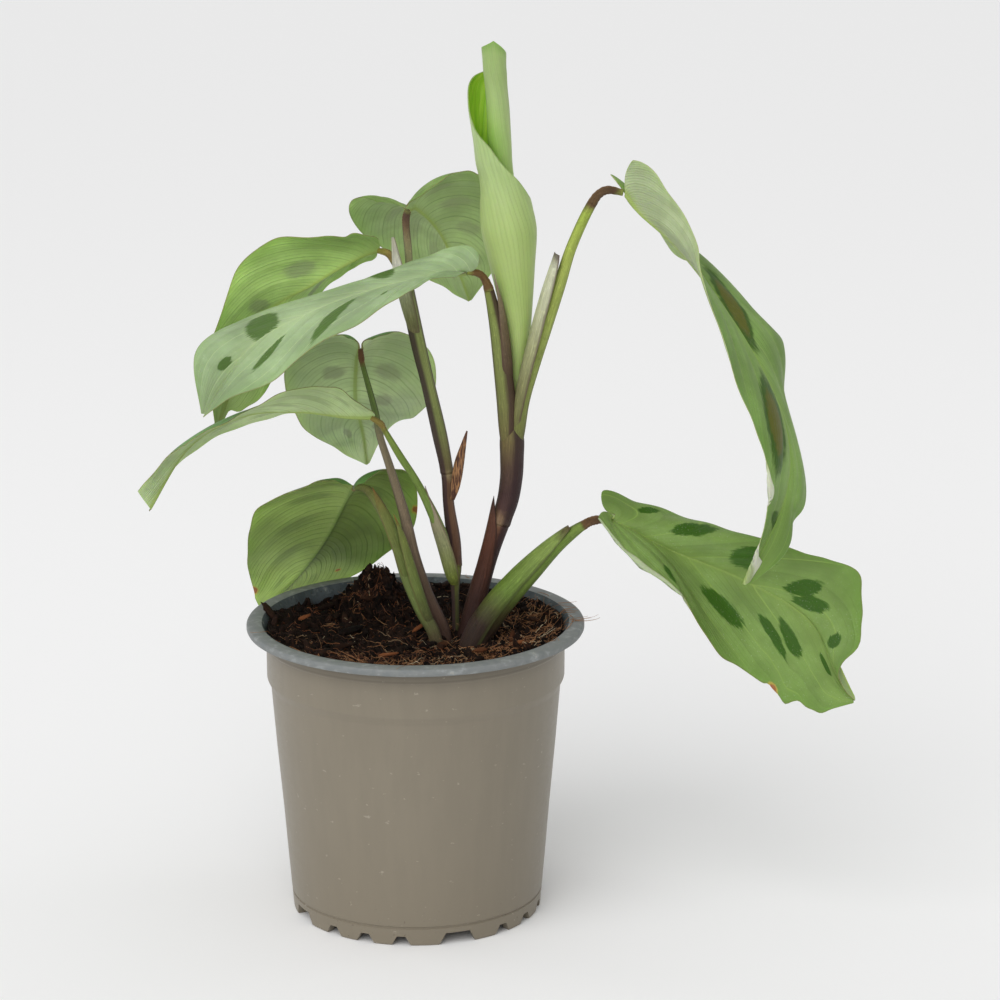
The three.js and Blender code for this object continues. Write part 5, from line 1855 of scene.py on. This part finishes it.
def ground_height(x, y, over_rim):
    """What a fibre lies on: the soil, or the rise of the pot's rim."""
    if not over_rim:
        return rough_height(x, y)
    level, start, rise, wide = RIM_RISE
    return level + rise * min(1, max(0, (math.hypot(x, y) - start) / wide))


def fibre_points(spine, thin):
    """Rings of a thin tube along a fibre, half as wide at its end."""
    along = unit(np.gradient(spine, axis=0))
    first = unit(np.cross(along, [0.3, 0.2, 1.0]))
    second = np.cross(along, first)
    angle = (2 * np.pi * np.arange(FIBRE_SIDES) / FIBRE_SIDES)[:, None]
    taper = (thin * np.linspace(1, 0.5, FIBRE_RINGS))[:, None, None]
    around = first[:, None] * np.cos(angle) + second[:, None] * np.sin(angle)
    return (spine[:, None] + around * taper).reshape(-1, 3)


def fibre_piece(settings):
    """Coir fibres that lie on and stand out of the soil, some of them over the rim."""
    draw = random.Random(settings.seed + 1)
    skin = tube_faces(FIBRE_RINGS, FIBRE_SIDES)
    heap = Heap()
    for k in range(settings.fibres):
        kind, radius, turn = fibre_start(draw, k)
        over_rim = kind == "over_rim"
        x, y = radius * math.cos(turn), radius * math.sin(turn)
        if kind == "clump":
            x, y = x + CLUMP[0], y + CLUMP[1]
        if near_stem(x, y) or (not over_rim and math.hypot(x, y) > FIBRE_REACH):
            continue
        if over_rim:
            heading = turn + draw.choice([-1, 1]) * draw.uniform(0.5, 1.6)
        else:
            heading = draw.uniform(0, 6.28)
        long_straw = x > 22 and draw.random() < 0.55
        large = over_rim or long_straw
        step = draw.uniform(*(LARGE_FIBRE_LENGTHS if large else FIBRE_LENGTHS)) / FIBRE_RINGS
        rise = draw.choice(FIBRE_RISES)
        bend = draw.uniform(-FIBRE_BEND, FIBRE_BEND)
        thin = draw.uniform(*(LARGE_FIBRE_RADII if large else FIBRE_RADII))
        spine = []
        lift = 0.15 if over_rim else 0.25
        for _ in range(FIBRE_RINGS):
            spine.append((x, y, ground_height(x, y, over_rim) + lift))
            heading += bend + draw.uniform(-FIBRE_WOBBLE, FIBRE_WOBBLE)
            ahead = x + step * math.cos(heading), y + step * math.sin(heading)
            if over_rim or math.hypot(*ahead) < FIBRE_EDGE:
                x, y = ahead
            lift += rise * step * draw.uniform(0.2, 0.8) * (0.4 if over_rim else 1)
        pale = large or kind == "straw" or (x > 5 and draw.random() < 0.4)
        shade = max(STRAW_SHADE if pale else 0, draw.random())
        heap.add(fibre_points(np.array(spine), thin), skin, shade)
    return heap.piece("soil_fibres", fibre_finish(settings))


def floor_piece(settings):
    """A plain pale floor that fills the view."""
    made = Finish("studio floor")
    made.surface(base_color=(*settings.floor, 1), roughness=0.9, specular_ior_level=0.1)
    grid = bmesh.new()
    bmesh.ops.create_grid(grid, x_segments=8, y_segments=8, size=9)
    mesh = bpy.data.meshes.new("studio_floor")
    grid.to_mesh(mesh)
    grid.free()
    mesh.materials.append(made.material)
    floor = add_object("studio_floor", mesh)


def soft_light(name, place, width, height, power):
    """A rectangular softbox that faces the plant."""
    lamp = bpy.data.lights.new(name, "AREA")
    lamp.shape = "RECTANGLE"
    lamp.size, lamp.size_y = width, height
    lamp.energy = power
    hang_light(lamp, place)


def hang_light(lamp, place):
    """Puts a lamp at a place, turned to the middle of the plant."""
    holder = add_object(lamp.name, lamp)
    holder.location = place
    aim = Vector(PLANT_MIDDLE) - Vector(place)
    holder.rotation_euler = aim.to_track_quat("-Z", "Y").to_euler()


class PRAYER_OT_pot(bpy.types.Operator):
    """Build the moulded pot"""

    bl_idname = "prayer.pot"
    bl_label = "Pot"

    def execute(self, context):
        pot_piece(context.scene.prayer_pot)
        return {"FINISHED"}


class PRAYER_OT_soil(bpy.types.Operator):
    """Build the soil with its crumbs and fibres"""

    bl_idname = "prayer.soil"
    bl_label = "Soil"

    def execute(self, context):
        settings = context.scene.prayer_soil
        finish = soil_finish(settings)
        soil_bed(finish)
        crumb_piece(settings, finish)
        fibre_piece(settings)
        return {"FINISHED"}


class PRAYER_OT_stalks(bpy.types.Operator):
    """Build the shoots, leaf stalks and leaf joints"""

    bl_idname = "prayer.stalks"
    bl_label = "Stalks"

    def execute(self, context):
        for stem in STEMS:
            stem_pieces(stem)
        for scale in SCALES:
            scale_piece(scale)
        bract_piece()
        return {"FINISHED"}


class PRAYER_OT_leaves(bpy.types.Operator):
    """Build the eight open leaves"""

    bl_idname = "prayer.leaves"
    bl_label = "Open leaves"

    def execute(self, context):
        for leaf in BLADES:
            blade_piece(leaf, context.scene.prayer_leaves)
        return {"FINISHED"}


class PRAYER_OT_rolled_leaf(bpy.types.Operator):
    """Build the rolled young leaf"""

    bl_idname = "prayer.rolled_leaf"
    bl_label = "Rolled leaf"

    def execute(self, context):
        roll_piece(context.scene.prayer_leaves)
        return {"FINISHED"}


class PRAYER_OT_stage(bpy.types.Operator):
    """Build the floor, the lights and the camera"""

    bl_idname = "prayer.stage"
    bl_label = "Studio"

    def execute(self, context):
        settings = context.scene.prayer_stage
        scene = context.scene
        floor_piece(settings)
        key = bpy.data.lights.new("key light", "SUN")
        key.energy = settings.key
        key.angle = math.radians(KEY_SPREAD)
        hang_light(key, KEY_PLACE)
        for name, place, width, height, power in SOFTBOXES:
            soft_light(name, place, width, height, getattr(settings, power))
        world = bpy.data.worlds.new("studio")
        world.use_nodes = True
        background = world.node_tree.nodes["Background"]
        background.inputs["Color"].default_value = (1, 1, 1, 1)
        background.inputs["Strength"].default_value = settings.sky
        scene.world = world
        lens = bpy.data.cameras.new("camera")
        lens.lens = CAMERA_LENS
        lens.clip_start, lens.clip_end = 0.05, 30
        camera = add_object("camera", lens)
        camera.location = (np.array(CAMERA_PLACE) + POT_AXIS) * MM
        camera.rotation_euler = (math.radians(90 - CAMERA_PITCH), 0, 0)
        scene.camera = camera
        scene.view_settings.view_transform = "Standard"
        return {"FINISHED"}


class PRAYER_PT_panel(bpy.types.Panel):
    """Lists the plant's settings and its operators"""

    bl_idname = "PRAYER_PT_panel"
    bl_label = "Prayer Plant"
    bl_space_type = "VIEW_3D"
    bl_region_type = "UI"
    bl_category = "Prayer Plant"

    def draw(self, context):
        for settings, operators in SECTIONS:
            box = self.layout.box()
            group = getattr(context.scene, settings)
            for name in group.bl_rna.properties.keys():
                if name not in ("rna_type", "name"):
                    box.prop(group, name)
            for operator in operators:
                box.operator(operator)


SECTIONS = [
    ("prayer_pot", ["prayer.pot"]),
    ("prayer_soil", ["prayer.soil"]),
    ("prayer_leaves", ["prayer.leaves", "prayer.rolled_leaf", "prayer.stalks"]),
    ("prayer_stage", ["prayer.stage"]),
]
SETTINGS = {
    "prayer_pot": PotSettings,
    "prayer_soil": SoilSettings,
    "prayer_leaves": LeafSettings,
    "prayer_stage": StageSettings,
}
OPERATORS = [
    PRAYER_OT_pot, PRAYER_OT_soil, PRAYER_OT_stalks, PRAYER_OT_leaves, PRAYER_OT_rolled_leaf,
    PRAYER_OT_stage,
]


def register():
    for kind in [*SETTINGS.values(), *OPERATORS, PRAYER_PT_panel]:
        bpy.utils.register_class(kind)
    for name, kind in SETTINGS.items():
        setattr(bpy.types.Scene, name, PointerProperty(type=kind))


def unregister():
    for name in SETTINGS:
        delattr(bpy.types.Scene, name)
    for kind in reversed([*SETTINGS.values(), *OPERATORS, PRAYER_PT_panel]):
        bpy.utils.unregister_class(kind)


def main():
    """Build every piece in order."""
    register()
    bpy.ops.prayer.stage()
    bpy.ops.prayer.pot()
    bpy.ops.prayer.soil()
    bpy.ops.prayer.stalks()
    bpy.ops.prayer.leaves()
    bpy.ops.prayer.rolled_leaf()


if __name__ == "__main__":
    main()
